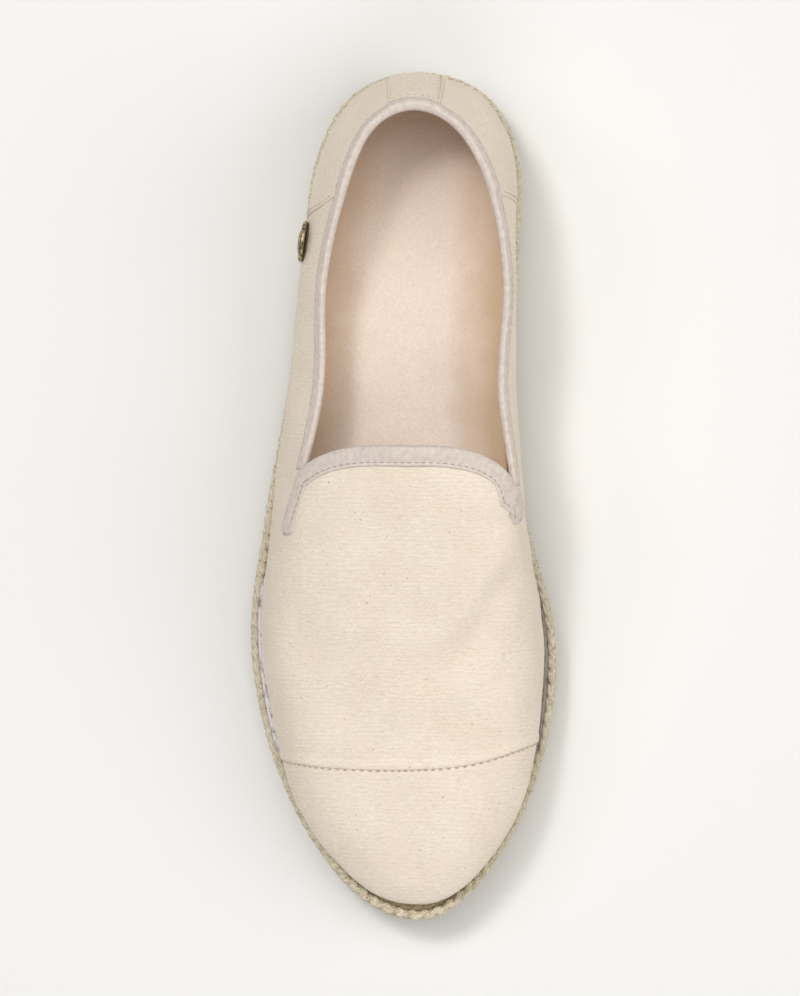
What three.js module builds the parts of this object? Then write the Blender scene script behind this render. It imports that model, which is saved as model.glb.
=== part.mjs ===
// A woman's slip-on espadrille for the right foot, about size 38: a canvas upper with a seamed toe, taped
// edges and a stitched heel, on a sole of three stacked jute plaits with a thin rubber outsole.
//
// Millimetres, +Z up, toe towards -Y. The little-toe side, called lateral, is at -X; the big-toe side, called
// medial, is at +X. The origin is on the floor under the middle of the footprint.
//
// "Along" is the distance from the back of the heel towards the toe. Tables have one row for each
// section, and every value between two rows follows a smooth curve through them.
import * as THREE from "three";
import { mergeVertices } from "three/addons/utils/BufferGeometryUtils.js";

// ---------------------------------------------------------------- driving dimensions

const LENGTH = 250; // sole, heel to toe
const GAP = 0.3; // clearance kept between two pieces that touch
const WALL = 1.5; // canvas with its lining
const RUBBER = 3.4; // thickness of the outsole
const RUBBER_INSET = 1.6; // the outsole's edge stands back from the jute by this much
const RUBBER_EDGE = 0.8; // bevel around the outsole's tread
const SOCK = 3.2; // thickness of the insole
const SOCK_CUP = 1.2; // the insole's edge turns up by this much
const PLAITS = 3; // rows of jute plait, one above another
const PLAIT_DEPTH = 1.1; // depth of the groove between two rows
const TAPE = 0.6; // thickness of the folded edge tapes
const COLLAR_TAPE_DROP = 0.05; // how far the collar tape reaches down the wall, as a share across
const THROAT_TAPE_WIDTH = 5.3;
const OVERLAY = 0.7; // thickness of a strip sewn over the canvas
const STAY = { atFeather: 0.037, atCollar: 0.054, top: 0.5 }; // half-width in stations, and where its top is
const STRIP = { from: 148, to: 197, top: 0.93 }; // the metallic strips, along the shoe and up the wall
const BADGE = { along: 49.5, across: -0.7, radius: 6, thickness: 1.6, standoff: 0.5 };

// Outline of the sole: x of its two edges.
const OUTLINE = [
  { along: 0, lateral: 5.3, medial: 5.3 },
  { along: 8.4, lateral: -15.7, medial: 26.9 },
  { along: 24.5, lateral: -24.4, medial: 34.7 },
  { along: 55, lateral: -29.0, medial: 34.8 },
  { along: 92, lateral: -33.1, medial: 33.8 },
  { along: 131, lateral: -40.1, medial: 37.0 },
  { along: 166, lateral: -44.4, medial: 45.6 },
  { along: 199, lateral: -38.9, medial: 42.9 },
  { along: 218, lateral: -31.2, medial: 36.6 },
  { along: 237.4, lateral: -18.2, medial: 25.0 },
  { along: 250, lateral: 5.3, medial: 5.3 },
];

// Side view of the sole: heights of its underside and of the top of the jute.
const SOLE_SIDE = [
  { along: 0, under: 1.2, top: 22.6 },
  { along: 14, under: 0, top: 22.0 },
  { along: 62, under: 0, top: 20.6 },
  { along: 96, under: 1.3, top: 19.0 },
  { along: 130, under: 0, top: 17.4 },
  { along: 182, under: 0, top: 16.8 },
  { along: 218, under: 1.7, top: 18.0 },
  { along: 250, under: 5.2, top: 21.4 },
];

// The last. The upper passes through four long lines on each side, named here from the sole up. The
// feather line is where it meets the sole, and the wall is where it is widest, both measured in from the
// sole's outline: below zero it overhangs the sole. rise is the wall's height over the feather line.
const LAST_SIDES = [
  { along: 0, feather: 2.9, lateralWall: 2.1, medialWall: 2.1, rise: 13 },
  { along: 8, feather: 2.9, lateralWall: 2.6, medialWall: 2.1, rise: 13 },
  { along: 25, feather: 2.8, lateralWall: 2.6, medialWall: 1.8, rise: 13 },
  { along: 55, feather: 2.4, lateralWall: 1.0, medialWall: 0.4, rise: 13 },
  { along: 92, feather: 2.4, lateralWall: 1.1, medialWall: -0.7, rise: 12 },
  { along: 117, feather: 2.9, lateralWall: 2.0, medialWall: -0.6, rise: 11 },
  { along: 135, feather: 3.5, lateralWall: 2.9, medialWall: 0.3, rise: 9.5 },
  { along: 166, feather: 4.4, lateralWall: 4.0, medialWall: 3.5, rise: 8 },
  { along: 199, feather: 4.0, lateralWall: 3.7, medialWall: 3.1, rise: 7 },
  { along: 212, feather: 3.5, lateralWall: 2.4, medialWall: 2.1, rise: 6.4 },
  { along: 238, feather: 4.3, lateralWall: 3.4, medialWall: 2.8, rise: 5 },
  { along: 250, feather: 5.8, lateralWall: 5.4, medialWall: 5.4, rise: 3.6 },
];

// The collar line is the top edge as far as the throat, and in front of it the shoulder of the vamp: x on
// each side, and its height. The crown runs along the instep. Behind the throat it only shapes the
// sections.
const LAST_TOP = [
  { along: 0, lateral: 5.4, medial: 5.4, collar: 63, crownX: 5.4, crown: 88 },
  { along: 8, lateral: -8.2, medial: 19.9, collar: 62.6, crownX: 5, crown: 88 },
  { along: 25, lateral: -15.0, medial: 28.0, collar: 60, crownX: 5, crown: 86 },
  { along: 55, lateral: -21.4, medial: 32.6, collar: 54, crownX: 5, crown: 81 },
  { along: 92, lateral: -22.8, medial: 31.2, collar: 51.5, crownX: 5, crown: 73 },
  { along: 117, lateral: -27.6, medial: 34.4, collar: 55, crownX: 4, crown: 66.5 },
  { along: 135, lateral: -31.4, medial: 34.8, collar: 51.6, crownX: 3, crown: 60.5 },
  { along: 166, lateral: -33.6, medial: 34.8, collar: 42.5, crownX: 1.6, crown: 50.5 },
  { along: 199, lateral: -28.6, medial: 32.0, collar: 36.2, crownX: 2.5, crown: 42 },
  { along: 220, lateral: -21.4, medial: 26.8, collar: 33.4, crownX: 4, crown: 38 },
  { along: 238, lateral: -10.8, medial: 17.6, collar: 31.2, crownX: 5, crown: 34.4 },
  { along: 250, lateral: 5.3, medial: 5.3, collar: 28.6, crownX: 5.3, crown: 30.8 },
];

// The collar and crown lines start forward of the heel and end short of the toe.
const COLLAR_ENDS = { from: 11.3, to: 240.5 };
const CROWN_ENDS = { from: 24, to: 234 };

// Places of the four lines across a section, from -1 at the lateral feather line to 1 at the medial one.
const ACROSS = { feather: 1, wall: 0.74, collar: 0.44, crown: 0 };

// The throat's rim runs straight over the instep and bends forward to meet the collar on each side.
const THROAT = { middle: 102.1, lateral: 114.6, medial: 119.8, roundness: 2.4 };

// The throat tape's ears: how far each runs on past the corner, along the collar line.
const EARS = { lateral: { along: 134, across: 0.487 }, medial: { along: 127.4, across: 0.525 } };

// ---------------------------------------------------------------- curves

// Place along the shoe as a station from 0 to 1. Stations crowd together at the ends, where the outline turns
// across the shoe, so that widths grow evenly with the station there.
const stationAt = (along) => Math.acos(1 - (2 * along) / LENGTH) / Math.PI;
const share = (station) => (1 - Math.cos(Math.PI * station)) / 2;

// A smooth curve through values at knots, with slopes taken from each knot's two neighbours. Level ends
// have a slope of zero there.
function smoothCurve(knots, values, levelEnds = false) {
  const rise = (i) => (values[i + 1] - values[i]) / (knots[i + 1] - knots[i]);
  const final = knots.length - 1;
  const slopes = knots.map((knot, i) => {
    if (i === 0) return levelEnds ? 0 : rise(0);
    if (i === final) return levelEnds ? 0 : rise(final - 1);
    const back = knot - knots[i - 1];
    const forward = knots[i + 1] - knot;
    return (rise(i - 1) * forward + rise(i) * back) / (back + forward);
  });
  return (at) => {
    let i = 0;
    while (i < knots.length - 2 && at > knots[i + 1]) i += 1;
    const span = knots[i + 1] - knots[i];
    const t = (at - knots[i]) / span;
    const rest = 1 - t;
    return (
      values[i] * (1 + 2 * t) * rest * rest +
      slopes[i] * span * t * rest * rest +
      values[i + 1] * t * t * (3 - 2 * t) -
      slopes[i + 1] * span * t * t * rest
    );
  };
}

// A table as one smooth curve for each of its columns. The two sides of the shoe run into each other
// around heel and toe, so all but the widths of the two sides are level there.
function curvesOf(table) {
  const knots = table.map((row) => stationAt(row.along));
  const names = Object.keys(table[0]).filter((name) => name !== "along");
  const curve = (name) => {
    const isWidth = name === "lateral" || name === "medial";
    return smoothCurve(knots, table.map((row) => row[name]), !isWidth);
  };
  return Object.fromEntries(names.map((name) => [name, curve(name)]));
}

// The underside has flat spots, so its rows are joined by plain easing, which never passes below them.
function easedCurve(table, name) {
  return (along) => {
    let i = 0;
    while (i < table.length - 2 && along > table[i + 1].along) i += 1;
    const t = (along - table[i].along) / (table[i + 1].along - table[i].along);
    const eased = i === table.length - 2 ? t * t : t * t * (3 - 2 * t);
    return table[i][name] + (table[i + 1][name] - table[i][name]) * eased;
  };
}

const outline = curvesOf(OUTLINE);
const last = { ...curvesOf(LAST_SIDES), ...curvesOf(LAST_TOP) };
const soleSide = curvesOf(SOLE_SIDE);
const undersideAt = easedCurve(SOLE_SIDE, "under");
const sideName = (side) => (side < 0 ? "lateral" : "medial");
const yAt = (along) => LENGTH / 2 - along;

// A point on the sole's outline, moved in by inset at right angles to it. side is -1 for lateral, 1 for
// medial.
function outlinePoint(station, side, inset = 0) {
  const at = (s) => new THREE.Vector2(outline[sideName(side)](s), yAt(LENGTH * share(s)));
  const atEnd = station < 1e-9 || station > 1 - 1e-9;
  const step = 1e-3;
  const along = atEnd
    ? new THREE.Vector2(station < 0.5 ? side : -side, 0)
    : at(Math.min(1, station + step)).sub(at(Math.max(0, station - step))).normalize();
  const inward = new THREE.Vector2(along.y * side, -along.x * side);
  return at(station).addScaledVector(inward, inset);
}

// ---------------------------------------------------------------- the last's surface

// One section's seven points, lateral feather line to medial feather line, as curves of the place across.
function sectionAt(station) {
  const floor = soleSide.top(station) + GAP;
  const lineY = ({ from, to }) => yAt(from + (to - from) * share(station));
  const sidePoints = (side) => {
    const feather = outlinePoint(station, side, last.feather(station));
    const wall = outlinePoint(station, side, last[sideName(side) + "Wall"](station));
    return [
      [feather.x, feather.y, floor],
      [wall.x, wall.y, floor + last.rise(station)],
      [last[sideName(side)](station), lineY(COLLAR_ENDS), last.collar(station)],
    ];
  };
  const crown = [last.crownX(station), lineY(CROWN_ENDS), last.crown(station)];
  const points = [...sidePoints(-1), crown, ...sidePoints(1).reverse()];
  const places = [ACROSS.feather, ACROSS.wall, ACROSS.collar];
  const knots = [...places.map((p) => -p), ACROSS.crown, ...places.reverse()];
  return [0, 1, 2].map((axis) => smoothCurve(knots, points.map((p) => p[axis])));
}

const sections = new Map();
function lastPoint(station, across) {
  if (!sections.has(station)) sections.set(station, sectionAt(station));
  return new THREE.Vector3(...sections.get(station).map((curve) => curve(across)));
}

// Outward direction of the last's surface. On the feather line it is level, so that the rim stands flat.
function lastNormal(station, across) {
  const step = 1e-3;
  const side = Math.sign(across) || 1;
  const atEnd = station < 1e-9 || station > 1 - 1e-9;
  const along = atEnd
    ? new THREE.Vector3(station < 0.5 ? side : -side, 0, 0)
    : lastPoint(Math.min(1, station + step), across).sub(lastPoint(Math.max(0, station - step), across));
  const inner = lastPoint(station, Math.max(-1, across - step));
  const over = lastPoint(station, Math.min(1, across + step)).sub(inner);
  const normal = along.cross(over);
  if (Math.abs(across) > 1 - 1e-9) normal.z = 0;
  return normal.normalize();
}

const offsetPoint = (station, across, out) =>
  lastPoint(station, across).addScaledVector(lastNormal(station, across), out);

// A move over the surface from a [station, across] place, in a level or sloping direction, in short steps.
function walk([station, across], direction, distance) {
  const steps = Math.max(1, Math.ceil(distance));
  const small = 1e-3;
  let place = [station, across];
  for (let i = 0; i < steps; i += 1) {
    const here = lastPoint(...place);
    const alongward = lastPoint(place[0] + small, place[1]).sub(here).divideScalar(small);
    const overward = lastPoint(place[0], place[1] + small).sub(here).divideScalar(small);
    const [a, b, d] = [alongward.dot(alongward), alongward.dot(overward), overward.dot(overward)];
    const [p, q] = [alongward.dot(direction), overward.dot(direction)];
    const scale = distance / steps / (a * d - b * b);
    place = [place[0] + (p * d - q * b) * scale, place[1] + (q * a - p * b) * scale];
  }
  return place;
}

// ---------------------------------------------------------------- solids

function geometryOf(triangles) {
  const geometry = new THREE.BufferGeometry();
  const positions = triangles.flatMap((p) => [p.x, p.y, p.z]);
  geometry.setAttribute("position", new THREE.Float32BufferAttribute(positions, 3));
  return mergeVertices(geometry, 1e-3);
}

// A closed wall between two surfaces over the same cells. A cell is four [station, across] corners, and
// an edge that belongs to one cell only gets a rim.
function wallSolid(cells, outer, inner) {
  const key = (p) => [p.x, p.y, p.z].map((value) => Math.round(value * 100)).join();
  const triangles = [];
  const edges = new Map();
  const quad = (a, b, c, d) => triangles.push(a, b, c, a, c, d);
  for (const cell of cells) {
    const out = cell.map((place) => offsetPoint(...place, outer));
    const within = cell.map((place) => offsetPoint(...place, inner));
    quad(...out);
    quad(...[...within].reverse());
    out.forEach((from, i) => {
      const next = (i + 1) % 4;
      const back = key(out[next]) + "|" + key(from);
      if (edges.has(back)) edges.delete(back);
      else edges.set(key(from) + "|" + key(out[next]), [out[next], from, within[i], within[next]]);
    });
  }
  for (const rim of edges.values()) quad(...rim);
  return geometryOf(triangles);
}

// Cells of a patch of rows by columns. corner gives the place at a share of the rows and of the columns.
function patchCells(rows, columns, corner) {
  const cells = [];
  for (let r = 0; r < rows; r += 1) {
    for (let c = 0; c < columns; c += 1) {
      const corners = [[r, c], [r + 1, c], [r + 1, c + 1], [r, c + 1]];
      cells.push(corners.map(([row, column]) => corner(row / rows, column / columns)));
    }
  }
  return cells;
}

// A solid from a row of closed rings of points, each end closed by a strip between the ring's two halves.
// Point i of a ring is opposite point count - i - shift.
function ringSolid(rings, shift) {
  const triangles = [];
  const count = rings[0].length;
  for (let level = 0; level < rings.length - 1; level += 1) {
    const [low, high] = [rings[level], rings[level + 1]];
    for (let i = 0; i < count; i += 1) {
      const k = (i + 1) % count;
      triangles.push(low[i], low[k], high[k], low[i], high[k], high[i]);
    }
  }
  const close = (ring, forward) => {
    for (let i = 0; i < count / 2 - shift; i += 1) {
      const opposite = [(count - i - shift) % count, count - i - 1 - shift];
      const corners = [...new Set([opposite[0], opposite[1], i + 1, i])].map((index) => ring[index]);
      if (!forward) corners.reverse();
      for (let k = 1; k < corners.length - 1; k += 1) triangles.push(corners[0], corners[k], corners[k + 1]);
    }
  };
  close(rings[0], true);
  close(rings.at(-1), false);
  return geometryOf(triangles);
}

// One level of the sole: a ring around the outline, moved in by inset(station), at height(station). It runs
// forward along the medial edge and back along the lateral one.
const RING_STATIONS = 48;
function soleRing(inset, height) {
  const stations = Array.from({ length: RING_STATIONS + 1 }, (_, i) => i / RING_STATIONS);
  const point = (station, side) => {
    const flat = outlinePoint(station, side, inset(station));
    return new THREE.Vector3(flat.x, flat.y, height(station));
  };
  const medial = stations.map((station) => point(station, 1));
  const lateral = stations.slice(1, -1).map((station) => point(station, -1)).reverse();
  return [...medial, ...lateral];
}

// ---------------------------------------------------------------- pieces

const underside = (station) => undersideAt(LENGTH * share(station));
const rubberTop = (station) => underside(station) + RUBBER;

function outsole() {
  const tread = soleRing(() => RUBBER_INSET + RUBBER_EDGE, underside);
  const edge = soleRing(() => RUBBER_INSET, (station) => underside(station) + RUBBER_EDGE);
  const top = soleRing(() => RUBBER_INSET, rubberTop);
  return ringSolid([top, edge, tread], 0);
}

// Each plait bulges between two grooves, so its edge is an arc in four steps.
function juteSole() {
  const steps = 4 * PLAITS;
  const rings = Array.from({ length: steps + 1 }, (_, i) => {
    const level = i / steps;
    const bulge = Math.abs(Math.sin(Math.PI * PLAITS * level));
    const height = (station) => {
      const bottom = rubberTop(station) + GAP;
      return bottom + (soleSide.top(station) - bottom) * level;
    };
    return soleRing(() => PLAIT_DEPTH * (1 - bulge), height);
  });
  return ringSolid(rings.reverse(), 0);
}

// The sock fills the sole inside the feather line, and its rim turns up against the upper.
function insole() {
  const edge = (station) => last.feather(station) + WALL + GAP;
  const floor = (rise) => (station) => soleSide.top(station) + GAP + rise;
  const dish = 7;
  const rings = [
    soleRing((station) => edge(station) + dish, floor(SOCK)),
    soleRing((station) => edge(station) + SOCK_CUP, floor(SOCK + SOCK_CUP)),
    soleRing(edge, floor(SOCK)),
    soleRing(edge, floor(0)),
  ];
  return ringSolid(rings, 0);
}

// Where the rim of the throat lies, as a station, at a place across the vamp.
function throatStation(across) {
  const corner = across < 0 ? THROAT.lateral : THROAT.medial;
  const bend = (Math.abs(across) / ACROSS.collar) ** THROAT.roundness;
  return stationAt(THROAT.middle + (corner - THROAT.middle) * Math.min(1, bend));
}

// Quarters on both sides, from the heel to the throat's corners, and from there the vamp to the toe.
function upperCells() {
  const wallColumns = 8;
  const vampColumns = 16;
  const quarterRows = 18;
  const vampRows = 26;
  const sides = [-1, 1].flatMap((side) => {
    const corner = throatStation(side * ACROSS.collar);
    const across = (column) => (side < 0 ? -1 : ACROSS.collar) + column * (1 - ACROSS.collar);
    const quarter = patchCells(quarterRows, wallColumns, (row, column) => [corner * row, across(column)]);
    const ahead = (row) => corner + (1 - corner) * row;
    const front = patchCells(vampRows, wallColumns, (row, column) => [ahead(row), across(column)]);
    return [...quarter, ...front];
  });
  const vamp = patchCells(vampRows, vampColumns, (row, column) => {
    const across = ACROSS.collar * (2 * column - 1);
    const start = throatStation(across);
    return [start + (1 - start) * row, across];
  });
  return [...sides, ...vamp];
}

// The strip up the back of the heel, in two halves that meet at the back.
function heelStay() {
  const cells = [-1, 1].flatMap((side) =>
    patchCells(3, 8, (row, column) => {
      const across = side < 0 ? -1 + column * (1 - STAY.top) : STAY.top + column * (1 - STAY.top);
      const up = (1 - Math.abs(across)) / (1 - STAY.top);
      return [(STAY.atFeather + (STAY.atCollar - STAY.atFeather) * up) * row, across];
    }),
  );
  return wallSolid(cells, GAP + OVERLAY, GAP);
}

// A tape folded over the collar's rim: down the outside, over the top, and down the lining.
function collarBinding() {
  const ringAt = (station, side) => {
    const [rim, low] = [ACROSS.collar * side, (ACROSS.collar + COLLAR_TAPE_DROP) * side];
    const up = lastPoint(station, rim).sub(lastPoint(station, low)).normalize();
    const lifted = (out, rise) => offsetPoint(station, rim, out).addScaledVector(up, rise);
    const within = -WALL - GAP;
    const outside = [
      offsetPoint(station, low, GAP + TAPE),
      lifted(GAP + TAPE, GAP),
      lifted(0, GAP + TAPE),
      lifted(-WALL, GAP + TAPE),
      lifted(within - TAPE, GAP),
      offsetPoint(station, low, within - TAPE),
    ];
    const inside = [
      offsetPoint(station, low, within),
      lifted(within, 0),
      lifted(-WALL, GAP),
      lifted(0, GAP),
      lifted(GAP, 0),
      offsetPoint(station, low, GAP),
    ];
    return [...outside, ...inside];
  };
  const steps = 28;
  const ends = (side) => throatStation(side * ACROSS.collar) * 0.985;
  const lateral = Array.from({ length: steps + 1 }, (_, i) => ringAt((ends(-1) * (steps - i)) / steps, -1));
  const medial = Array.from({ length: steps }, (_, i) => ringAt((ends(1) * (i + 1)) / steps, 1));
  return ringSolid([...lateral, ...medial], 1);
}

// The path of the throat tape's rear edge: up one ear, along the throat's rim, and down the other ear.
function throatPath() {
  const ear = (side) => {
    const end = EARS[sideName(side)];
    const corner = throatStation(side * ACROSS.collar);
    const steps = 5;
    return Array.from({ length: steps }, (_, i) => {
      const t = (i + 1) / steps;
      const across = ACROSS.collar + (end.across - ACROSS.collar) * Math.sqrt(t);
      return [corner + (stationAt(end.along) - corner) * t, side * across];
    });
  };
  const steps = 26;
  const rim = Array.from({ length: steps + 1 }, (_, i) => {
    const across = ACROSS.collar * Math.sin((Math.PI / 2) * ((2 * i) / steps - 1));
    return [throatStation(across), across];
  });
  return [...ear(-1).reverse(), ...rim, ...ear(1)];
}

function throatBinding() {
  const path = throatPath();
  const points = path.map((place) => lastPoint(...place));
  const columns = 4;
  const rows = path.map((place, i) => {
    const along = points[Math.min(i + 1, path.length - 1)].clone().sub(points[Math.max(i - 1, 0)]);
    const inward = lastNormal(...place).cross(along).normalize().negate();
    const step = THROAT_TAPE_WIDTH / columns;
    return Array.from({ length: columns + 1 }, (_, k) => walk(place, inward, step * k));
  });
  const cells = rows.slice(1).flatMap((row, i) =>
    Array.from({ length: columns }, (_, k) => [rows[i][k], rows[i][k + 1], row[k + 1], row[k]]),
  );
  return wallSolid(cells, GAP + TAPE, GAP);
}

// A strip of metallic leather standing on the jute against the wall, on one side of the ball.
function ballStrip(side) {
  const [from, to] = [stationAt(STRIP.from), stationAt(STRIP.to)];
  const cells = patchCells(12, 1, (row, column) => {
    const share = side < 0 ? column : 1 - column;
    const across = 1 - share * (1 - STRIP.top);
    return [from + (to - from) * row, side * across];
  });
  return wallSolid(cells, GAP + OVERLAY, GAP);
}

// A plain domed rivet head with a raised rim, turned about its axis.
function badge() {
  const { radius, thickness } = BADGE;
  const profile = [
    [0, 0],
    [radius - 0.3, 0],
    [radius, 0.4],
    [radius, thickness - 0.4],
    [radius - 0.5, thickness],
    [radius - 1.3, thickness],
    [radius - 1.8, thickness - 0.4],
    [radius / 2, thickness - 0.15],
    [0, thickness],
  ];
  return new THREE.LatheGeometry(profile.map(([x, y]) => new THREE.Vector2(x, y)), 28);
}

// ---------------------------------------------------------------- the shoe

const FINISHES = {
  canvas: { color: 0xe3d6c6, roughness: 0.95 },
  tape: { color: 0xcdc1bd, roughness: 0.9 },
  jute: { color: 0xc2ac86, roughness: 0.95 },
  rubber: { color: 0xb08e62, roughness: 0.8 },
  suede: { color: 0xdcc4b2, roughness: 0.85 },
  pewter: { color: 0xb3ada6, roughness: 0.4, metalness: 0.8 },
  bronze: { color: 0x4f483c, roughness: 0.4, metalness: 0.9 },
};

function piece(name, geometry, finish) {
  const mesh = new THREE.Mesh(geometry, new THREE.MeshStandardMaterial(FINISHES[finish]));
  mesh.name = name;
  return mesh;
}

const espadrille = new THREE.Group();
espadrille.add(
  piece("outsole", outsole(), "rubber"),
  piece("jute_sole", juteSole(), "jute"),
  piece("insole", insole(), "suede"),
  piece("upper", wallSolid(upperCells(), 0, -WALL), "canvas"),
  piece("heel_stay", heelStay(), "canvas"),
  piece("collar_binding", collarBinding(), "tape"),
  piece("throat_binding", throatBinding(), "tape"),
  piece("strip_lateral", ballStrip(-1), "pewter"),
  piece("strip_medial", ballStrip(1), "pewter"),
);

const rivet = piece("badge", badge(), "bronze");
const badgePlace = [stationAt(BADGE.along), BADGE.across];
rivet.position.copy(offsetPoint(...badgePlace, BADGE.standoff));
rivet.quaternion.setFromUnitVectors(new THREE.Vector3(0, 1, 0), lastNormal(...badgePlace));
espadrille.add(rivet);

export default espadrille;
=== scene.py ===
"""A woman's canvas espadrille for the right foot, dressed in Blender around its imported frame.

The shoe is built on one last. A place on it is a station, from 0 at the heel to 1 at the toe, and a place
across, from -1 at the lateral feather line over the crown to 1 at the medial one. Every soft piece is a grid
laid on the last's surface, so that seams, tapes and stitches follow the same shape.

Sizes in the classes are millimetres. +Z is up, the toe points to -Y and the big-toe side is +X.
"""

from __future__ import annotations

import logging
import math
from dataclasses import dataclass, field
from enum import Enum
from typing import Callable, Sequence

import bpy
import numpy as np
from mathutils import Matrix, Vector


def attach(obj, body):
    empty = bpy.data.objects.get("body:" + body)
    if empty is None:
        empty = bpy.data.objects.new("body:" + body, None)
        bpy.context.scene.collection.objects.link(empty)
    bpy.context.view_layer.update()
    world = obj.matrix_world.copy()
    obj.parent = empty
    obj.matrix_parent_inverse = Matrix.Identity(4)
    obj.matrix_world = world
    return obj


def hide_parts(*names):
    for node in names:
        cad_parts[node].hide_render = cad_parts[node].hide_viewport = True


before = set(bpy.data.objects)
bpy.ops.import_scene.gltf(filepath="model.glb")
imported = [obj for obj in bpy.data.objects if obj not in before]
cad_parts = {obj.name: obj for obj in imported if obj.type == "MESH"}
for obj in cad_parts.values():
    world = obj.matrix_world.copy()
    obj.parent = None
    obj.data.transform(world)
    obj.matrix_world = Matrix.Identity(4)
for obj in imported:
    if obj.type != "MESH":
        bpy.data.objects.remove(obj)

LOG = logging.getLogger("espadrille")
ROOT = "root"
MM = 0.001
# points nearer than this, in metres, are sewn into one
MERGE = 0.002 * MM
# the step over the last that measures a slope, and the least distance from an edge that counts
NUDGE = 0.001
HAIR = 1e-9

Grid = np.ndarray
Colour = tuple[int, int, int]
Triple = tuple[float, float, float]
Pieces = list[bpy.types.Object]


# ------------------------------------------------------------------------------------------------ the last


@dataclass(frozen=True)
class OutlineRow:
    """One section of the sole's outline, with the x of its two edges."""

    along: float
    lateral: float
    medial: float


@dataclass(frozen=True)
class SideRow:
    """One section of the sole's side view, with its underside and the top of the jute."""

    along: float
    under: float
    top: float


@dataclass(frozen=True)
class WallRow:
    """One section of the upper's lower wall, measured in from the outline and up from the feather line."""

    along: float
    feather: float
    lateral_wall: float
    medial_wall: float
    rise: float


@dataclass(frozen=True)
class TopRow:
    """One section of the collar line on each side and of the crown."""

    along: float
    lateral: float
    medial: float
    collar: float
    crown_x: float
    crown: float


OUTLINE = (
    OutlineRow(0, 5.3, 5.3),
    OutlineRow(8.4, -15.7, 26.9),
    OutlineRow(24.5, -24.4, 34.7),
    OutlineRow(55, -29.0, 34.8),
    OutlineRow(92, -33.1, 33.8),
    OutlineRow(131, -40.1, 37.0),
    OutlineRow(166, -44.4, 45.6),
    OutlineRow(199, -38.9, 42.9),
    OutlineRow(218, -31.2, 36.6),
    OutlineRow(237.4, -18.2, 25.0),
    OutlineRow(250, 5.3, 5.3),
)

SOLE_SIDE = (
    SideRow(0, 1.2, 22.6),
    SideRow(14, 0, 22.0),
    SideRow(62, 0, 20.6),
    SideRow(96, 1.3, 19.0),
    SideRow(130, 0, 17.4),
    SideRow(182, 0, 16.8),
    SideRow(218, 1.7, 18.0),
    SideRow(250, 5.2, 21.4),
)

LAST_SIDES = (
    WallRow(0, 2.9, 2.1, 2.1, 13),
    WallRow(8, 2.9, 2.6, 2.1, 13),
    WallRow(25, 2.8, 2.6, 1.8, 13),
    WallRow(55, 2.4, 1.0, 0.4, 13),
    WallRow(92, 2.4, 1.1, -0.7, 12),
    WallRow(117, 2.9, 2.0, -0.6, 11),
    WallRow(135, 3.5, 2.9, 0.3, 9.5),
    WallRow(166, 4.4, 4.0, 3.5, 8),
    WallRow(199, 4.0, 3.7, 3.1, 7),
    WallRow(212, 3.5, 2.4, 2.1, 6.4),
    WallRow(238, 4.3, 3.4, 2.8, 5),
    WallRow(250, 5.8, 5.4, 5.4, 3.6),
)

LAST_TOP = (
    TopRow(0, 5.4, 5.4, 63, 5.4, 88),
    TopRow(8, -8.2, 19.9, 62.6, 5, 88),
    TopRow(25, -15.0, 28.0, 60, 5, 86),
    TopRow(55, -21.4, 32.6, 54, 5, 81),
    TopRow(92, -22.8, 31.2, 51.5, 5, 73),
    TopRow(117, -27.6, 34.4, 55, 4, 66.5),
    TopRow(135, -31.4, 34.8, 51.6, 3, 60.5),
    TopRow(166, -33.6, 34.8, 42.5, 1.6, 50.5),
    TopRow(199, -28.6, 32.0, 36.2, 2.5, 42),
    TopRow(220, -21.4, 26.8, 33.4, 4, 38),
    TopRow(238, -10.8, 17.6, 31.2, 5, 34.4),
    TopRow(250, 5.3, 5.3, 28.6, 5.3, 30.8),
)


def hermite_slopes(knots: Sequence[float], values: Grid, level_ends: bool) -> Grid:
    """Finds the slope of a smooth curve at each of its knots.

    Args:
        knots: Increasing places.
        values: Values at the knots, along the first axis.
        level_ends: Whether the slope is zero at both ends.

    Returns:
        One slope for each value.
    """
    gaps = np.diff(np.asarray(knots, float)).reshape(-1, *[1] * (values.ndim - 1))
    rises = np.diff(values, axis=0) / gaps
    slopes = np.zeros_like(values)
    slopes[1:-1] = (rises[:-1] * gaps[1:] + rises[1:] * gaps[:-1]) / (gaps[1:] + gaps[:-1])
    if not level_ends:
        slopes[0], slopes[-1] = rises[0], rises[-1]
    return slopes


def hermite(knots: Sequence[float], values: Grid, slopes: Grid, at: Grid) -> Grid:
    """Evaluates smooth curves.

    Args:
        knots: Increasing places.
        values: Values at the knots along the first axis. A second axis has one column for each place.
        slopes: Slopes in the same layout.
        at: Places to evaluate, a flat array.

    Returns:
        One value, or one row of values, for each place.
    """
    knots = np.asarray(knots, float)
    low = np.clip(np.searchsorted(knots, at, side="left") - 1, 0, len(knots) - 2)
    span = knots[low + 1] - knots[low]
    t = (at - knots[low]) / span
    if values.ndim > 2:
        span, t = span[:, None], t[:, None]
    rest = 1 - t

    def read(table: Grid, rows: Grid) -> Grid:
        """Returns each place's entry, from its own column where there are several."""
        return table[rows, np.arange(len(at))] if table.ndim > 1 else table[rows]

    return (
        read(values, low) * (1 + 2 * t) * rest * rest
        + read(slopes, low) * span * t * rest * rest
        + read(values, low + 1) * t * t * (3 - 2 * t)
        - read(slopes, low + 1) * span * t * t * rest
    )


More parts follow.
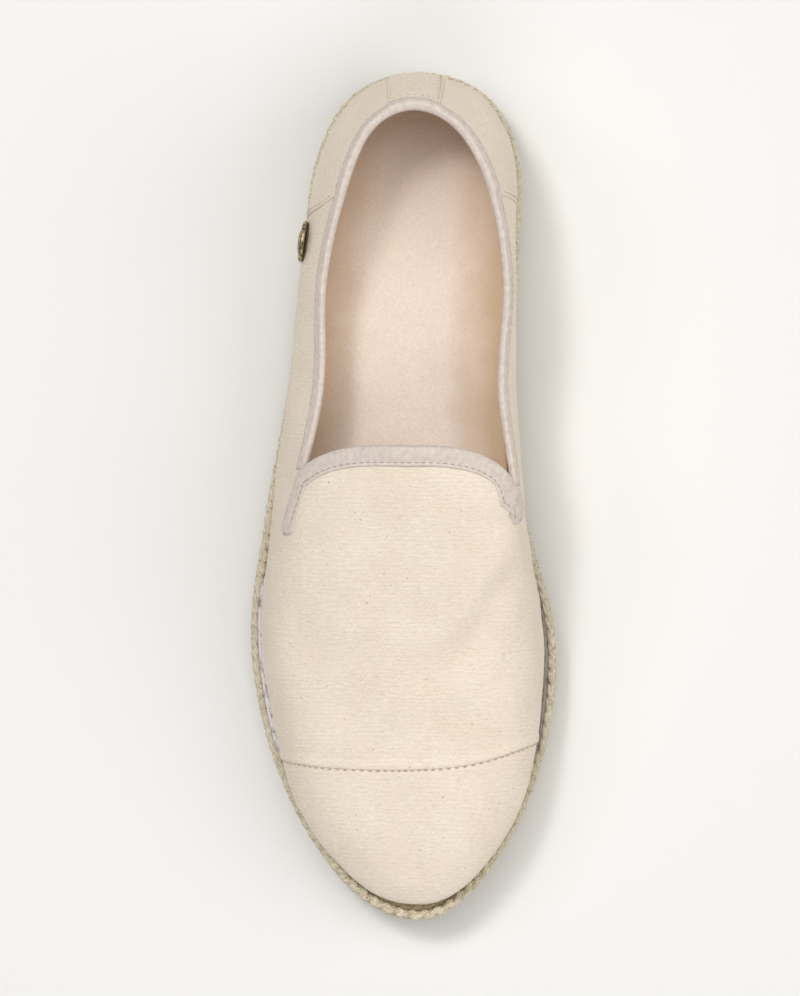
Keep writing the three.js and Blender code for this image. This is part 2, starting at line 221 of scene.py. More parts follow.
class SmoothCurve:
    """A smooth curve through values at knots."""

    def __init__(self, knots: Sequence[float], values: Sequence[float], level_ends: bool = False) -> None:
        """Keeps the knots and works out the slopes."""
        self.knots = list(knots)
        self.values = np.asarray(values, float)
        self.slopes = hermite_slopes(self.knots, self.values, level_ends)

    def __call__(self, at: Grid) -> Grid:
        """Returns the values at an array of places."""
        at = np.asarray(at, float)
        return hermite(self.knots, self.values, self.slopes, at.ravel()).reshape(at.shape)


def unit(vectors: Grid) -> Grid:
    """Returns vectors of length one."""
    return vectors / np.linalg.norm(vectors, axis=-1, keepdims=True)


def smoothstep(low: float, high: float, at: Grid) -> Grid:
    """Returns 0 below low, 1 above high and an eased value between them."""
    t = np.clip((np.asarray(at, float) - low) / (high - low), 0, 1)
    return t * t * (3 - 2 * t)


def run_along(line: Grid) -> Grid:
    """Returns how far along a line of points each of them lies."""
    return np.concatenate([[0], np.cumsum(np.linalg.norm(np.diff(line, axis=0), axis=-1))])


def ahead_of(station: Grid, side: Grid, steps: Grid) -> Grid:
    """Finds the way forward along an edge of the shoe. At the very heel and toe it runs straight across.

    Args:
        station: Stations.
        side: -1 for lateral and 1 for medial, for each station.
        steps: Small steps towards the toe.

    Returns:
        The steps, with those at heel and toe put right.
    """
    level = np.zeros_like(steps)
    level[..., 0] = np.where(station < 0.5, side, -side)
    at_end = (station < HAIR) | (station > 1 - HAIR)
    return np.where(at_end[..., None], level, steps)


@dataclass
class Last:
    """The shape that the upper is pulled over, with the outline and side view of its sole."""

    length: float = 250.0
    wall: float = 1.5
    gap: float = 0.3
    rubber: float = 3.4
    collar_ends: tuple[float, float] = (11.3, 240.5)
    crown_ends: tuple[float, float] = (24.0, 234.0)
    feather_at: float = 1.0
    wall_at: float = 0.74
    collar_at: float = 0.44
    throat_middle: float = 102.1
    throat_lateral: float = 114.6
    throat_medial: float = 119.8
    throat_roundness: float = 2.4
    crown_middle: float = 5.0
    crown_round: float = 8.0
    curves: dict[str, SmoothCurve] = field(default_factory=dict)

    def __post_init__(self) -> None:
        """Turns each column of each table into a smooth curve over the stations."""
        for prefix, table in (("edge_", OUTLINE), ("", SOLE_SIDE), ("", LAST_SIDES), ("", LAST_TOP)):
            knots = [float(self.station_at(row.along)) for row in table]
            for name in vars(table[0]):
                level = name not in ("lateral", "medial")
                self.curves[prefix + name] = SmoothCurve(knots, [getattr(row, name) for row in table], level)

    def station_at(self, along: Grid | float) -> Grid:
        """Returns the station at a distance from the heel."""
        return np.arccos(1 - 2 * np.asarray(along, float) / self.length) / math.pi

    def share(self, station: Grid) -> Grid:
        """Returns how far along the shoe a station is, from 0 to 1."""
        return (1 - np.cos(math.pi * np.asarray(station, float))) / 2

    def underside(self, station: Grid) -> Grid:
        """Returns the height of the sole's underside, which has flat spots under heel and ball."""
        along = self.length * self.share(station)
        knots = np.array([row.along for row in SOLE_SIDE])
        values = np.array([row.under for row in SOLE_SIDE], float)
        low = np.clip(np.searchsorted(knots, along, side="left") - 1, 0, len(knots) - 2)
        t = (along - knots[low]) / (knots[low + 1] - knots[low])
        eased = np.where(low == len(knots) - 2, t * t, t * t * (3 - 2 * t))
        return values[low] + (values[low + 1] - values[low]) * eased

    def outline(self, station: Grid, side: Grid | int, inset: Grid | float = 0.0) -> Grid:
        """Finds points on the sole's outline.

        Args:
            station: Stations.
            side: -1 for lateral and 1 for medial, for each station or for all.
            inset: Distance moved in from the edge, at right angles to it.

        Returns:
            x and y of each point, in the last axis.
        """
        station = np.asarray(station, float)
        side = np.broadcast_to(np.asarray(side, float), station.shape)

        def flat(at: Grid) -> Grid:
            """Returns the outline's points without an inset."""
            x = np.where(side < 0, self.curves["edge_lateral"](at), self.curves["edge_medial"](at))
            return np.stack([x, self.length * (0.5 - self.share(at))], -1)

        steps = flat(np.minimum(1, station + NUDGE)) - flat(np.maximum(0, station - NUDGE))
        ahead = unit(ahead_of(station, side, steps))
        inward = np.stack([ahead[..., 1] * side, -ahead[..., 0] * side], -1)
        return flat(station) + inward * np.broadcast_to(np.asarray(inset, float), station.shape)[..., None]

    def point(self, station: Grid, across: Grid) -> Grid:
        """Returns the points of the last's surface at places given by two arrays of one shape."""
        station, across = np.broadcast_arrays(np.asarray(station, float), np.asarray(across, float))
        shape, s, a = station.shape, station.ravel(), across.ravel()
        floor = self.curves["top"](s) + self.gap
        share = self.share(s)

        def line_y(ends: tuple[float, float]) -> Grid:
            """Returns y on a line that starts and ends short of heel and toe."""
            return self.length / 2 - (ends[0] + (ends[1] - ends[0]) * share)

        def side_points(side: int) -> list[Grid]:
            """Returns the feather, wall and collar points of one side."""
            feather = self.outline(s, side, self.curves["feather"](s))
            wall = self.outline(s, side, self.curves["lateral_wall" if side < 0 else "medial_wall"](s))
            collar_x = self.curves["lateral" if side < 0 else "medial"](s)
            return [
                np.column_stack([feather, floor]),
                np.column_stack([wall, floor + self.curves["rise"](s)]),
                np.column_stack([collar_x, line_y(self.collar_ends), self.curves["collar"](s)]),
            ]

        crown_x, crown_z = self.curves["crown_x"](s), self.curves["crown"](s)
        crown = np.column_stack([crown_x, line_y(self.crown_ends), crown_z])
        values = np.stack([*side_points(-1), crown, *reversed(side_points(1))])
        places = [self.feather_at, self.wall_at, self.collar_at]
        knots = [-place for place in places] + [0.0] + places[::-1]
        return hermite(knots, values, hermite_slopes(knots, values, False), a).reshape(*shape, 3)

    def normal(self, station: Grid, across: Grid) -> Grid:
        """Returns the outward directions of the last's surface. On the feather line they are level."""
        station, across = np.broadcast_arrays(np.asarray(station, float), np.asarray(across, float))
        before, after = np.maximum(0, station - NUDGE), np.minimum(1, station + NUDGE)
        steps = self.point(after, across) - self.point(before, across)
        ahead = ahead_of(station, np.where(across < 0, -1.0, 1.0), steps)
        left, right = np.maximum(-1, across - NUDGE), np.minimum(1, across + NUDGE)
        over = self.point(station, right) - self.point(station, left)
        normal = np.cross(ahead, over)
        normal[..., 2] = np.where(np.abs(across) > 1 - HAIR, 0, normal[..., 2])
        return unit(normal)

    def offset(self, station: Grid, across: Grid, out: Grid | float) -> Grid:
        """Returns surface points moved outwards by out."""
        out = np.asarray(out, float)
        move = out[..., None] if out.ndim else out
        return self.point(station, across) + self.normal(station, across) * move

    def walk(self, station: Grid, across: Grid, direction: Grid, distance: Grid | float) -> tuple[Grid, Grid]:
        """Moves places over the surface.

        Args:
            station: Stations to start from.
            across: Places across to start from.
            direction: Direction of each move.
            distance: Length of each move.

        Returns:
            The new stations and places across.
        """
        station, across = np.array(station, float), np.array(across, float)
        distance = np.broadcast_to(np.asarray(distance, float), station.shape)
        steps = max(1, math.ceil(float(np.abs(distance).max())))
        for _ in range(steps):
            here = self.point(station, across)
            along = (self.point(station + NUDGE, across) - here) / NUDGE
            over = (self.point(station, across + NUDGE) - here) / NUDGE
            along_along, over_over = (along * along).sum(-1), (over * over).sum(-1)
            along_over = (along * over).sum(-1)
            forward, sideways = (along * direction).sum(-1), (over * direction).sum(-1)
            scale = distance / steps / (along_along * over_over - along_over * along_over)
            station = station + (forward * over_over - sideways * along_over) * scale
            across = across + (sideways * along_along - forward * along_over) * scale
        return station, across

    def throat_station(self, across: Grid) -> Grid:
        """Returns the station of the throat's rim at a place across the vamp."""
        across = np.asarray(across, float)
        corner = np.where(across < 0, self.throat_lateral, self.throat_medial)
        bend = np.minimum(1, np.abs(across) / self.collar_at) ** self.throat_roundness
        return self.station_at(self.throat_middle + (corner - self.throat_middle) * bend)

    def station_of(self, across: Grid, line: Callable[[Grid], Grid]) -> Grid:
        """Finds where a line drawn across the shoe meets the surface, by halving.

        Args:
            across: Places across.
            line: y of the line at each x.

        Returns:
            The station at each place across.
        """
        halvings = 30
        low, high = np.full(across.shape, 0.02), np.full(across.shape, 0.98)
        for _ in range(halvings):
            middle = (low + high) / 2
            here = self.point(middle, across)
            behind = here[..., 1] > line(here[..., 0])
            low, high = np.where(behind, middle, low), np.where(behind, high, middle)
        return (low + high) / 2

    def grain(self, points: Grid) -> Grid:
        """Finds the cloth's own coordinates of points: its ribs run straight over the shoe from side to side.

        Args:
            points: Points on the last, in millimetres.

        Returns:
            Length across and along the cloth, in millimetres, in the last axis.
        """
        over, down = np.linspace(0, 1, 300), np.linspace(0, 1, 40)
        heel, toe = self.point(over[:1] + 0 * down, down[::-1]), self.point(over[-1:] + 0 * down, down)
        middle = np.concatenate([heel[:-1], self.point(over, 0 * over), toe[1:]])
        forward = np.maximum.accumulate(-middle[:, 1] + 1e-6 * np.arange(len(middle)))
        run = run_along(middle)
        at = -points[..., 1]
        drop = np.maximum(0, np.interp(at, forward, middle[:, 2]) - points[..., 2])
        away = points[..., 0] - self.crown_middle
        return np.stack([away + np.tanh(away / self.crown_round) * drop, np.interp(at, forward, run)], -1)


# ---------------------------------------------------------------------------------------------- workbench


def deselect() -> None:
    """Leaves object mode with nothing selected."""
    if bpy.context.object and bpy.context.object.mode != "OBJECT":
        bpy.ops.object.mode_set(mode="OBJECT")
    bpy.ops.object.select_all(action="DESELECT")


def pick(piece: bpy.types.Object) -> None:
    """Makes one object the only one selected, and active."""
    deselect()
    piece.select_set(True)
    bpy.context.view_layer.objects.active = piece


def named(piece: bpy.types.Object, name: str) -> bpy.types.Object:
    """Gives an object and its mesh one name."""
    piece.name = piece.data.name = name
    return piece


def choose_faces(mesh: bpy.types.Mesh, chosen: Sequence[bool]) -> None:
    """Enters edit mode with only the chosen faces of the active object selected."""
    bpy.ops.object.mode_set(mode="EDIT")
    bpy.ops.mesh.select_mode(type="FACE")
    bpy.ops.mesh.select_all(action="DESELECT")
    bpy.ops.object.mode_set(mode="OBJECT")
    mesh.polygons.foreach_set("select", chosen)
    bpy.ops.object.mode_set(mode="EDIT")


def wrapped_grid(
    name: str,
    points: Grid,
    cloth: Grid | None = None,
    hole: Grid | None = None,
    closed: bool = False,
) -> bpy.types.Object:
    """Lays a grid on given points and sews edges that meet.

    Args:
        name: Name of the piece.
        points: Points in millimetres by row and column. A row's direction crossed with a column's points out.
        cloth: Coordinates for the UV map, one pair for each point.
        hole: Faces to cut out, true where a face goes.
        closed: Whether open ends are filled.

    Returns:
        The new object.
    """
    rows, columns = points.shape[0] - 1, points.shape[1] - 1
    deselect()
    bpy.ops.mesh.primitive_grid_add(x_subdivisions=columns, y_subdivisions=rows, size=1)
    piece = named(bpy.context.active_object, name)
    mesh = piece.data
    mesh.vertices.foreach_set("co", (points * MM).astype(np.float32).ravel())
    mesh.update()
    if cloth is not None:
        owners = np.empty(len(mesh.loops), np.int32)
        mesh.loops.foreach_get("vertex_index", owners)
        pairs = cloth.reshape(-1, 2)[owners].astype(np.float32)
        mesh.uv_layers.active.data.foreach_set("uv", pairs.ravel())
    if hole is not None:
        choose_faces(mesh, hole.ravel())
        bpy.ops.mesh.delete(type="FACE")
    bpy.ops.object.mode_set(mode="EDIT")
    bpy.ops.mesh.select_mode(type="VERT")
    bpy.ops.mesh.select_all(action="SELECT")
    bpy.ops.mesh.flip_normals()
    bpy.ops.mesh.remove_doubles(threshold=MERGE)
    if closed:
        bpy.ops.mesh.select_all(action="SELECT")
        bpy.ops.mesh.fill_holes(sides=0)
    bpy.ops.object.mode_set(mode="OBJECT")
    bpy.ops.object.shade_smooth()
    return piece


def thicken(piece: bpy.types.Object, wall: float, lined: bool = False) -> None:
    """Gives a sheet its thickness towards the inside. A lined wall takes the second material within."""
    pick(piece)
    solid = piece.modifiers.new("wall", "SOLIDIFY")
    solid.thickness = wall * MM
    solid.offset = -1
    solid.use_even_offset = False
    solid.material_offset = 1 if lined else 0
    bpy.ops.object.modifier_apply(modifier=solid.name)


def settle(piece: bpy.types.Object) -> None:
    """Puts an object's place, turn and size into its mesh."""
    pick(piece)
    bpy.ops.object.transform_apply(location=True, rotation=True, scale=True)


def joined(name: str, pieces: Sequence[bpy.types.Object]) -> bpy.types.Object:
    """Makes one object of many."""
    deselect()
    for piece in pieces:
        piece.select_set(True)
    bpy.context.view_layer.objects.active = pieces[0]
    bpy.ops.object.join()
    piece = named(bpy.context.active_object, name)
    settle(piece)
    return piece


def copies(name: str, model: bpy.types.Object, places: Sequence[Matrix]) -> bpy.types.Object:
    """Sets copies of a small model at many places and joins them.

    Args:
        name: Name of the joined piece.
        model: The model, which is used up.
        places: Where each copy goes, in metres.

    Returns:
        The joined object.
    """
    made = []
    for place in places:
        copy = model.copy()
        copy.data = model.data.copy()
        copy.matrix_world = place
        bpy.context.scene.collection.objects.link(copy)
        made.append(copy)
    bpy.data.objects.remove(model)
    return joined(name, made)


def place_matrix(at: Grid, along: Grid, up: Grid) -> Matrix:
    """Returns the matrix that puts a model at a point in millimetres, its x along and its z up."""
    x = Vector(along).normalized()
    z = (Vector(up) - x * x.dot(Vector(up))).normalized()
    turn = Matrix((x, z.cross(x), z)).transposed().to_4x4()
    return Matrix.Translation(Vector(at) * MM) @ turn


def spaced(line: Grid, pitch: float) -> Grid:
    """Spreads places evenly over a line of points.

    Args:
        line: Points by row.
        pitch: Distance between places, nearly.

    Returns:
        Fractional row numbers of the places.
    """
    run = run_along(line)
    count = max(2, round(run[-1] / pitch))
    marks = (np.arange(count) + 0.5) / count
    return np.interp(marks * run[-1], run, np.arange(len(line)))


def band_cloth(girth: Grid, run: Grid) -> Grid:
    """Returns the cloth's coordinates on a swept band, from its girth by column and its run by row."""
    return np.stack(np.broadcast_arrays(girth[None, :], run[:, None]), -1)


def along_rows(table: Grid, rows: Grid) -> Grid:
    """Reads a table of vectors at fractional row numbers."""
    whole = np.arange(len(table))
    return np.stack([np.interp(rows, whole, column) for column in table.T], -1)


# ----------------------------------------------------------------------------------------------- finishes


Socket = bpy.types.NodeSocket
Value = Socket | float


def linear(colour: Colour) -> tuple[float, float, float, float]:
    """Returns the linear colour of a display colour."""
    shares = np.array(colour) / 255
    red, green, blue = np.where(shares <= 0.04045, shares / 12.92, ((shares + 0.055) / 1.055) ** 2.4)
    return (float(red), float(green), float(blue), 1.0)


class Paint:
    """A material being mixed: a principled shader and short ways to add nodes to it."""

    def __init__(self, name: str, roughness: float, metallic: float = 0.0) -> None:
        """Starts a material with a plain shader."""
        self.material = bpy.data.materials.new(name)
        self.material.use_nodes = True
        self.tree = self.material.node_tree
        self.shader = self.tree.nodes["Principled BSDF"]
        self.shader.inputs["Roughness"].default_value = roughness
        self.shader.inputs["Metallic"].default_value = metallic

    def node(self, kind: str, inputs: dict[str | int, Value | Triple], **settings: object) -> bpy.types.Node:
        """Adds a node.

        Args:
            kind: The node's type name.
            inputs: A value or a socket for each input, by name or number.
            settings: Properties of the node.

        Returns:
            The new node.
        """
        made = self.tree.nodes.new(kind)
        for key, value in settings.items():
            setattr(made, key, value)
        for key, value in inputs.items():
            if isinstance(value, Socket):
                self.tree.links.new(value, made.inputs[key])
            else:
                made.inputs[key].default_value = value
        return made

    def math(self, operation: str, first: Value, second: Value = 0.0) -> Socket:
        """Adds one operation on two values."""
        return self.node("ShaderNodeMath", {0: first, 1: second}, operation=operation).outputs[0]

    def total(self, *values: Value) -> Socket:
        """Adds values together."""
        result = values[0]
        for value in values[1:]:
            result = self.math("ADD", result, value)
        return result

    def times(self, value: Value, factor: Value) -> Socket:
        """Multiplies two values."""
        return self.math("MULTIPLY", value, factor)

    def wave(self, value: Value, length: float) -> Socket:
        """Returns a sine of a value, with a wave length."""
        return self.math("SINE", self.times(value, 2 * math.pi / length))

    def humps(self, value: Value, length: float) -> Socket:
        """Returns a row of round humps over a value, each of a length."""
        return self.math("ABSOLUTE", self.wave(value, 2 * length))

    def span(
        self, value: Value, low: float, high: float, to_low: float = 0.0, to_high: float = 1.0
    ) -> Socket:
        """Maps a value from one range to another, clamped."""
        inputs = {"Value": value, "From Min": low, "From Max": high, "To Min": to_low, "To Max": to_high}
        return self.node("ShaderNodeMapRange", inputs).outputs["Result"]

    def object_place(self, scale: Triple = (1000, 1000, 1000)) -> Socket:
        """Returns the place on the object: metres times a scale, and so millimetres unless it is given."""
        place = self.node("ShaderNodeTexCoord", {}).outputs["Object"]
        return self.node("ShaderNodeMapping", {"Vector": place, "Scale": scale}).outputs[0]

    def cloth_place(self, scale: Triple = (1, 1, 1)) -> Socket:
        """Returns the place on the cloth in millimetres, scaled."""
        place = self.node("ShaderNodeUVMap", {}, uv_map="UVMap").outputs[0]
        return self.node("ShaderNodeMapping", {"Vector": place, "Scale": scale}).outputs[0]

    def parts(self, vector: Socket) -> tuple[Socket, Socket]:
        """Splits a vector and returns its first two parts."""
        split = self.node("ShaderNodeSeparateXYZ", {0: vector})
        return split.outputs[0], split.outputs[1]

    def noise(self, vector: Socket, scale: float, detail: float = 2.0, roughness: float = 0.5) -> Socket:
        """Adds a noise and returns its value."""
        inputs = {"Vector": vector, "Scale": scale, "Detail": detail, "Roughness": roughness}
        return self.node("ShaderNodeTexNoise", inputs).outputs[0]

    def spread(self, noise: Socket, to_low: float = 0.0, to_high: float = 1.0) -> Socket:
        """Stretches the values that a noise mostly has over a range."""
        return self.span(noise, 0.3, 0.7, to_low, to_high)

    def cloud(
        self, vector: Socket, scale: float, detail: float, roughness: float, to_low: float, to_high: float
    ) -> Socket:
        """Adds a noise and stretches it over a range."""
        return self.spread(self.noise(vector, scale, detail, roughness), to_low, to_high)

    def blend(self, share: Value, first: Socket | Colour, second: Socket | Colour) -> Socket:
        """Blends two colours, each a socket or a display colour."""
        made = self.node("ShaderNodeMix", {0: share}, data_type="RGBA", blend_type="MIX")
        for slot, colour in ((6, first), (7, second)):
            if isinstance(colour, Socket):
                self.tree.links.new(colour, made.inputs[slot])
            else:
                made.inputs[slot].default_value = linear(colour)
        return made.outputs[2]

    def colour(self, colour: Socket) -> None:
        """Sets the base colour."""
        self.tree.links.new(colour, self.shader.inputs["Base Color"])

    def roughness(self, value: Socket) -> None:
        """Sets a varying roughness."""
        self.tree.links.new(value, self.shader.inputs["Roughness"])

    def bump(self, height: Socket, depth: float, under: Socket | None = None) -> Socket:
        """Adds a relief of a depth in millimetres over another, and makes it the shader's."""
        inputs: dict[str | int, Value] = {"Height": height, "Distance": depth * MM, "Strength": 1.0}
        if under is not None:
            inputs["Normal"] = under
        made = self.node("ShaderNodeBump", inputs).outputs[0]
        self.tree.links.new(made, self.shader.inputs["Normal"])
        return made

    def sheen(self, amount: float, roughness: float, tint: Colour) -> None:
        """Sets the soft glow of fibres."""
        self.shader.inputs["Sheen Weight"].default_value = amount
        self.shader.inputs["Sheen Roughness"].default_value = roughness
        self.shader.inputs["Sheen Tint"].default_value = linear(tint)


@dataclass(frozen=True)
class Canvas:
    """Ecru cotton canvas: short broken ribs across the shoe, thick and thin threads and brown seed flecks."""

    light: Colour = (243, 230, 213)
    dark: Colour = (221, 205, 184)
    pink: Colour = (234, 215, 203)
    fleck: Colour = (146, 124, 98)
    glow: Colour = (255, 244, 234)
    rib: float = 1.3
    warp: float = 0.9
    rib_wander: float = 1.6
    weave_relief: float = 0.04
    slub_relief: float = 0.05
    fleck_share: tuple[float, float] = (0.805, 0.85)

    def material(self) -> bpy.types.Material:
        """Mixes the material."""
        paint = Paint("canvas", 0.92)
        place = paint.cloth_place()
        across, run = paint.parts(place)
        drift = paint.noise(paint.cloth_place((0.12, 0.3, 1)), 1.0, 2.0)
        row = paint.total(paint.math("DIVIDE", run, self.rib), paint.times(drift, self.rib_wander))
        column = paint.total(paint.math("DIVIDE", across, self.warp), paint.math("FLOOR", row))
        weft, knots = paint.humps(row, 1.0), paint.humps(column, 2.0)
        weave = paint.total(paint.times(weft, 0.6), paint.times(knots, 0.4))
        dash = paint.noise(paint.cloth_place((0.4, 1.3, 1)), 1.0, 2.0, 0.6)
        fibre = paint.noise(paint.cloth_place((1.4, 3.4, 1)), 1.0, 3.0, 0.65)
        stain = paint.noise(place, 0.05, 2.0)
        seed = paint.noise(paint.cloth_place((1.0, 1.3, 1)), 1.0, 0.0)
        blush = paint.noise(paint.cloth_place((0.6, 1.0, 1)), 0.11, 2.0)
        shade = paint.total(
            paint.span(dash, 0.25, 0.75, 0.15, 0.85),
            paint.span(weave, 0.1, 0.9, -0.13, 0.13),
            paint.spread(fibre, -0.25, 0.25),
            paint.span(stain, 0.35, 0.65, -0.12, 0.12),
        )
        body = paint.blend(paint.span(shade, 0, 1), self.dark, self.light)
        body = paint.blend(paint.span(blush, 0.5, 0.66, 0, 0.35), body, self.pink)
        paint.colour(paint.blend(paint.span(seed, *self.fleck_share, 0, 0.75), body, self.fleck))
        lower = paint.bump(weave, self.weave_relief)
        paint.bump(paint.total(fibre, dash), self.slub_relief, lower)
        paint.sheen(0.15, 0.6, self.glow)
        return paint.material


@dataclass(frozen=True)
class Tape:
    """Pale pinkish cotton tape with a close cross weave."""

    light: Colour = (230, 217, 207)
    dark: Colour = (198, 184, 173)
    glow: Colour = (250, 242, 240)
    thread: float = 0.5
    weave_relief: float = 0.06
    pucker_relief: float = 0.3

    def material(self) -> bpy.types.Material:
        """Mixes the material."""
        paint = Paint("tape", 0.85)
        place = paint.cloth_place()
        across, run = paint.parts(place)
        fine, cross = paint.wave(run, self.thread), paint.wave(across, 1.6 * self.thread)
        weave = paint.total(paint.times(fine, 0.3), paint.times(cross, 0.2))
        shade = paint.total(paint.cloud(place, 0.5, 3.0, 0.6, 0.2, 0.8), paint.times(weave, 0.35))
        paint.colour(paint.blend(paint.span(shade, 0, 1), self.dark, self.light))
        lower = paint.bump(weave, self.weave_relief)
        paint.bump(paint.noise(place, 0.35, 2.0), self.pucker_relief, lower)
        paint.sheen(0.2, 0.5, self.glow)
        return paint.material


@dataclass(frozen=True)
class Jute:
    """Raw jute strand: coarse twisted fibre with olive and dark streaks, cream on its crowns as painted
    highlight and darker between them as painted shade.
    """

    light: Colour = (252, 241, 214)
    middle: Colour = (234, 219, 190)
    dark: Colour = (128, 110, 80)
    glow: Colour = (255, 244, 214)
    twist: float = 0.75
    twist_relief: float = 0.14
    fibre_relief: float = 0.2

    def material(self) -> bpy.types.Material:
        """Mixes the material."""
        paint = Paint("jute", 0.9)
        around, run = paint.parts(paint.cloth_place())
        wander = paint.noise(paint.cloth_place((0.5, 0.5, 1)), 1.0, 2.0)
        lay = paint.total(paint.times(run, 1.1), paint.times(around, 1.9), wander)
        fibre = paint.wave(lay, 2 * self.twist)
        streak = paint.noise(paint.cloth_place((1.6, 0.5, 1)), 1.3, 4.0, 0.7)
        # painted highlight and shade: the twist's wave lightens its crowns and darkens the dips between them;
        # the streaks and the patches vary at random
        shade = paint.total(
            paint.span(fibre, -1, 1, 0.25, 0.62),
            paint.spread(streak, -0.4, 0.55),
            paint.cloud(paint.object_place(), 0.32, 2.0, 0.5, -0.12, 0.25),
        )
        body = paint.blend(paint.span(shade, -0.1, 0.35), self.dark, self.middle)
        paint.colour(paint.blend(paint.span(shade, 0.35, 0.95), body, self.light))
        lower = paint.bump(fibre, self.twist_relief)
        paint.bump(streak, self.fibre_relief, lower)
        paint.sheen(0.2, 0.6, self.glow)
        return paint.material


@dataclass(frozen=True)
class ShadedJuteCore:
    """The wound jute seen between plait and upper: long fibres, darker than the plait's jute as painted
    shade.
    """

    # painted shade: both tones are darker than the plait's, for the shadow in the gap between plait and upper
    light: Colour = (196, 178, 144)
    dark: Colour = (118, 98, 70)
    relief: float = 0.4

    def material(self) -> bpy.types.Material:
        """Mixes the material."""
        paint = Paint("jute_core", 0.95)
        strands = paint.noise(paint.object_place(), 1.1, 4.0, 0.7)
        paint.colour(paint.blend(paint.spread(strands), self.dark, self.light))
        paint.bump(strands, self.relief)
        return paint.material


@dataclass(frozen=True)
class Suede:
    """Pinkish beige suede with a short nap and a faint sparkle, tan at its rim, and darkened towards the heel
    with painted shade.
    """

    light: Colour = (251, 237, 224)
    dark: Colour = (232, 213, 199)
    tan: Colour = (210, 182, 151)
    # painted shade: the colour the sock darkens to towards the heel, where the heel wall's shadow falls
    painted_shading: Colour = (170, 146, 128)
    sparkle: Colour = (255, 247, 238)
    glow: Colour = (255, 236, 224)
    tan_width: tuple[float, float] = (3.0, 17.0)
    heel_shade_from: tuple[float, float] = (40.0, 120.0)
    nap_relief: float = 0.09

    def material(self) -> bpy.types.Material:
        """Mixes the material."""
        paint = Paint("suede", 0.8)
        place = paint.object_place()
        inset, along = paint.parts(paint.cloth_place())
        stain = paint.noise(place, 0.07, 3.0, 0.6)
        nap = paint.noise(place, 1.1, 4.0, 0.7)
        grain = paint.noise(place, 3.2, 2.0, 0.6)
        shade = paint.total(paint.spread(stain, 0.44, 0.7), paint.spread(nap, -0.35, 0.35))
        body = paint.blend(paint.span(shade, 0, 1), self.dark, self.light)
        wander = paint.total(inset, paint.spread(stain, -1.5, 1.5))
        body = paint.blend(paint.span(wander, *self.tan_width, 1, 0), body, self.tan)
        # painted shade: the sock darkens towards the heel, as if in the heel wall's shadow
        heel_shade_share = paint.math("POWER", paint.span(along, *self.heel_shade_from), 2.0)
        body = paint.blend(heel_shade_share, body, self.painted_shading)
        glint = paint.span(grain, 0.64, 0.72)
        paint.colour(paint.blend(paint.times(glint, 0.55), body, self.sparkle))
        paint.roughness(paint.span(glint, 0, 1, 0.82, 0.4))
        paint.bump(nap, self.nap_relief)
        paint.sheen(0.2, 0.45, self.glow)
        return paint.material


@dataclass(frozen=True)
class Lining:
    """Tan cotton twill lining."""

    light: Colour = (214, 186, 150)
    dark: Colour = (184, 152, 116)
    glow: Colour = (240, 225, 205)
    thread: float = 0.7
    relief: float = 0.05

    def material(self) -> bpy.types.Material:
        """Mixes the material."""
        paint = Paint("lining", 0.9)
        place = paint.cloth_place()
        twill = paint.wave(paint.total(*paint.parts(place)), self.thread)
        shade = paint.total(paint.cloud(place, 0.3, 3.0, 0.6, 0.2, 0.8), paint.times(twill, 0.15))
        paint.colour(paint.blend(paint.span(shade, 0, 1), self.dark, self.light))
        paint.bump(twill, self.relief)
        paint.sheen(0.2, 0.6, self.glow)
        return paint.material


@dataclass(frozen=True)
class Thread:
    """Twisted sewing thread in one colour."""

    name: str
    tone: Colour
    relief: float = 0.08

    def material(self) -> bpy.types.Material:
        """Mixes the material."""
        paint = Paint(self.name, 0.7)
        twist = paint.noise(paint.object_place(), 3.0, 2.0)
        deep = tuple(round(part * 0.82) for part in self.tone)
        paint.colour(paint.blend(paint.spread(twist), deep, self.tone))
        paint.bump(twist, self.relief)
        paint.sheen(0.2, 0.5, self.tone)
        return paint.material


@dataclass(frozen=True)
class MetalLeather:
    """Metallic leather, crumpled, mottled with painted highlights and painted shade, and darkened along both
    edges with painted shade.
    """

    name: str
    light: Colour
    dark: Colour
    relief: float = 0.25

    def material(self) -> bpy.types.Material:
        """Mixes the material."""
        paint = Paint(self.name, 0.4, 0.3)
        place = paint.object_place()
        lean, _ = paint.parts(paint.cloth_place())
        # painted highlights and shade: this noise mottles the leather between its light and dark tones,
        # standing in for a crumpled metal's reflections
        painted_shading = paint.noise(place, 0.35, 4.0, 0.7)
        crackle = paint.noise(place, 1.4, 3.0, 0.6)
        # painted shade along both edges, where the strip meets the jute and the upper
        edge = paint.total(paint.span(lean, 0.75, 1, 0, 0.5), paint.span(lean, 0.15, 0, 0, 0.3))
        tone = paint.math("SUBTRACT", paint.span(painted_shading, 0.32, 0.5), edge)
        paint.colour(paint.blend(paint.span(tone, 0, 1), self.dark, self.light))
        paint.roughness(paint.spread(crackle, 0.3, 0.5))
        paint.bump(crackle, self.relief)
        return paint.material


@dataclass(frozen=True)
class Bronze:
    """Dark antiqued bronze, bright where it is rubbed."""

    bright: Colour = (206, 190, 150)
    dark: Colour = (84, 74, 54)
    relief: float = 0.05

    def material(self) -> bpy.types.Material:
        """Mixes the material."""
        paint = Paint("bronze", 0.4, 0.9)
        patina = paint.noise(paint.object_place(), 0.8, 4.0, 0.7)
        scratch = paint.noise(paint.object_place((600, 2600, 900)), 1.0, 3.0)
        paint.colour(paint.blend(paint.span(patina, 0.42, 0.62), self.dark, self.bright))
        paint.roughness(paint.spread(scratch, 0.28, 0.55))
        paint.bump(scratch, self.relief)
        return paint.material


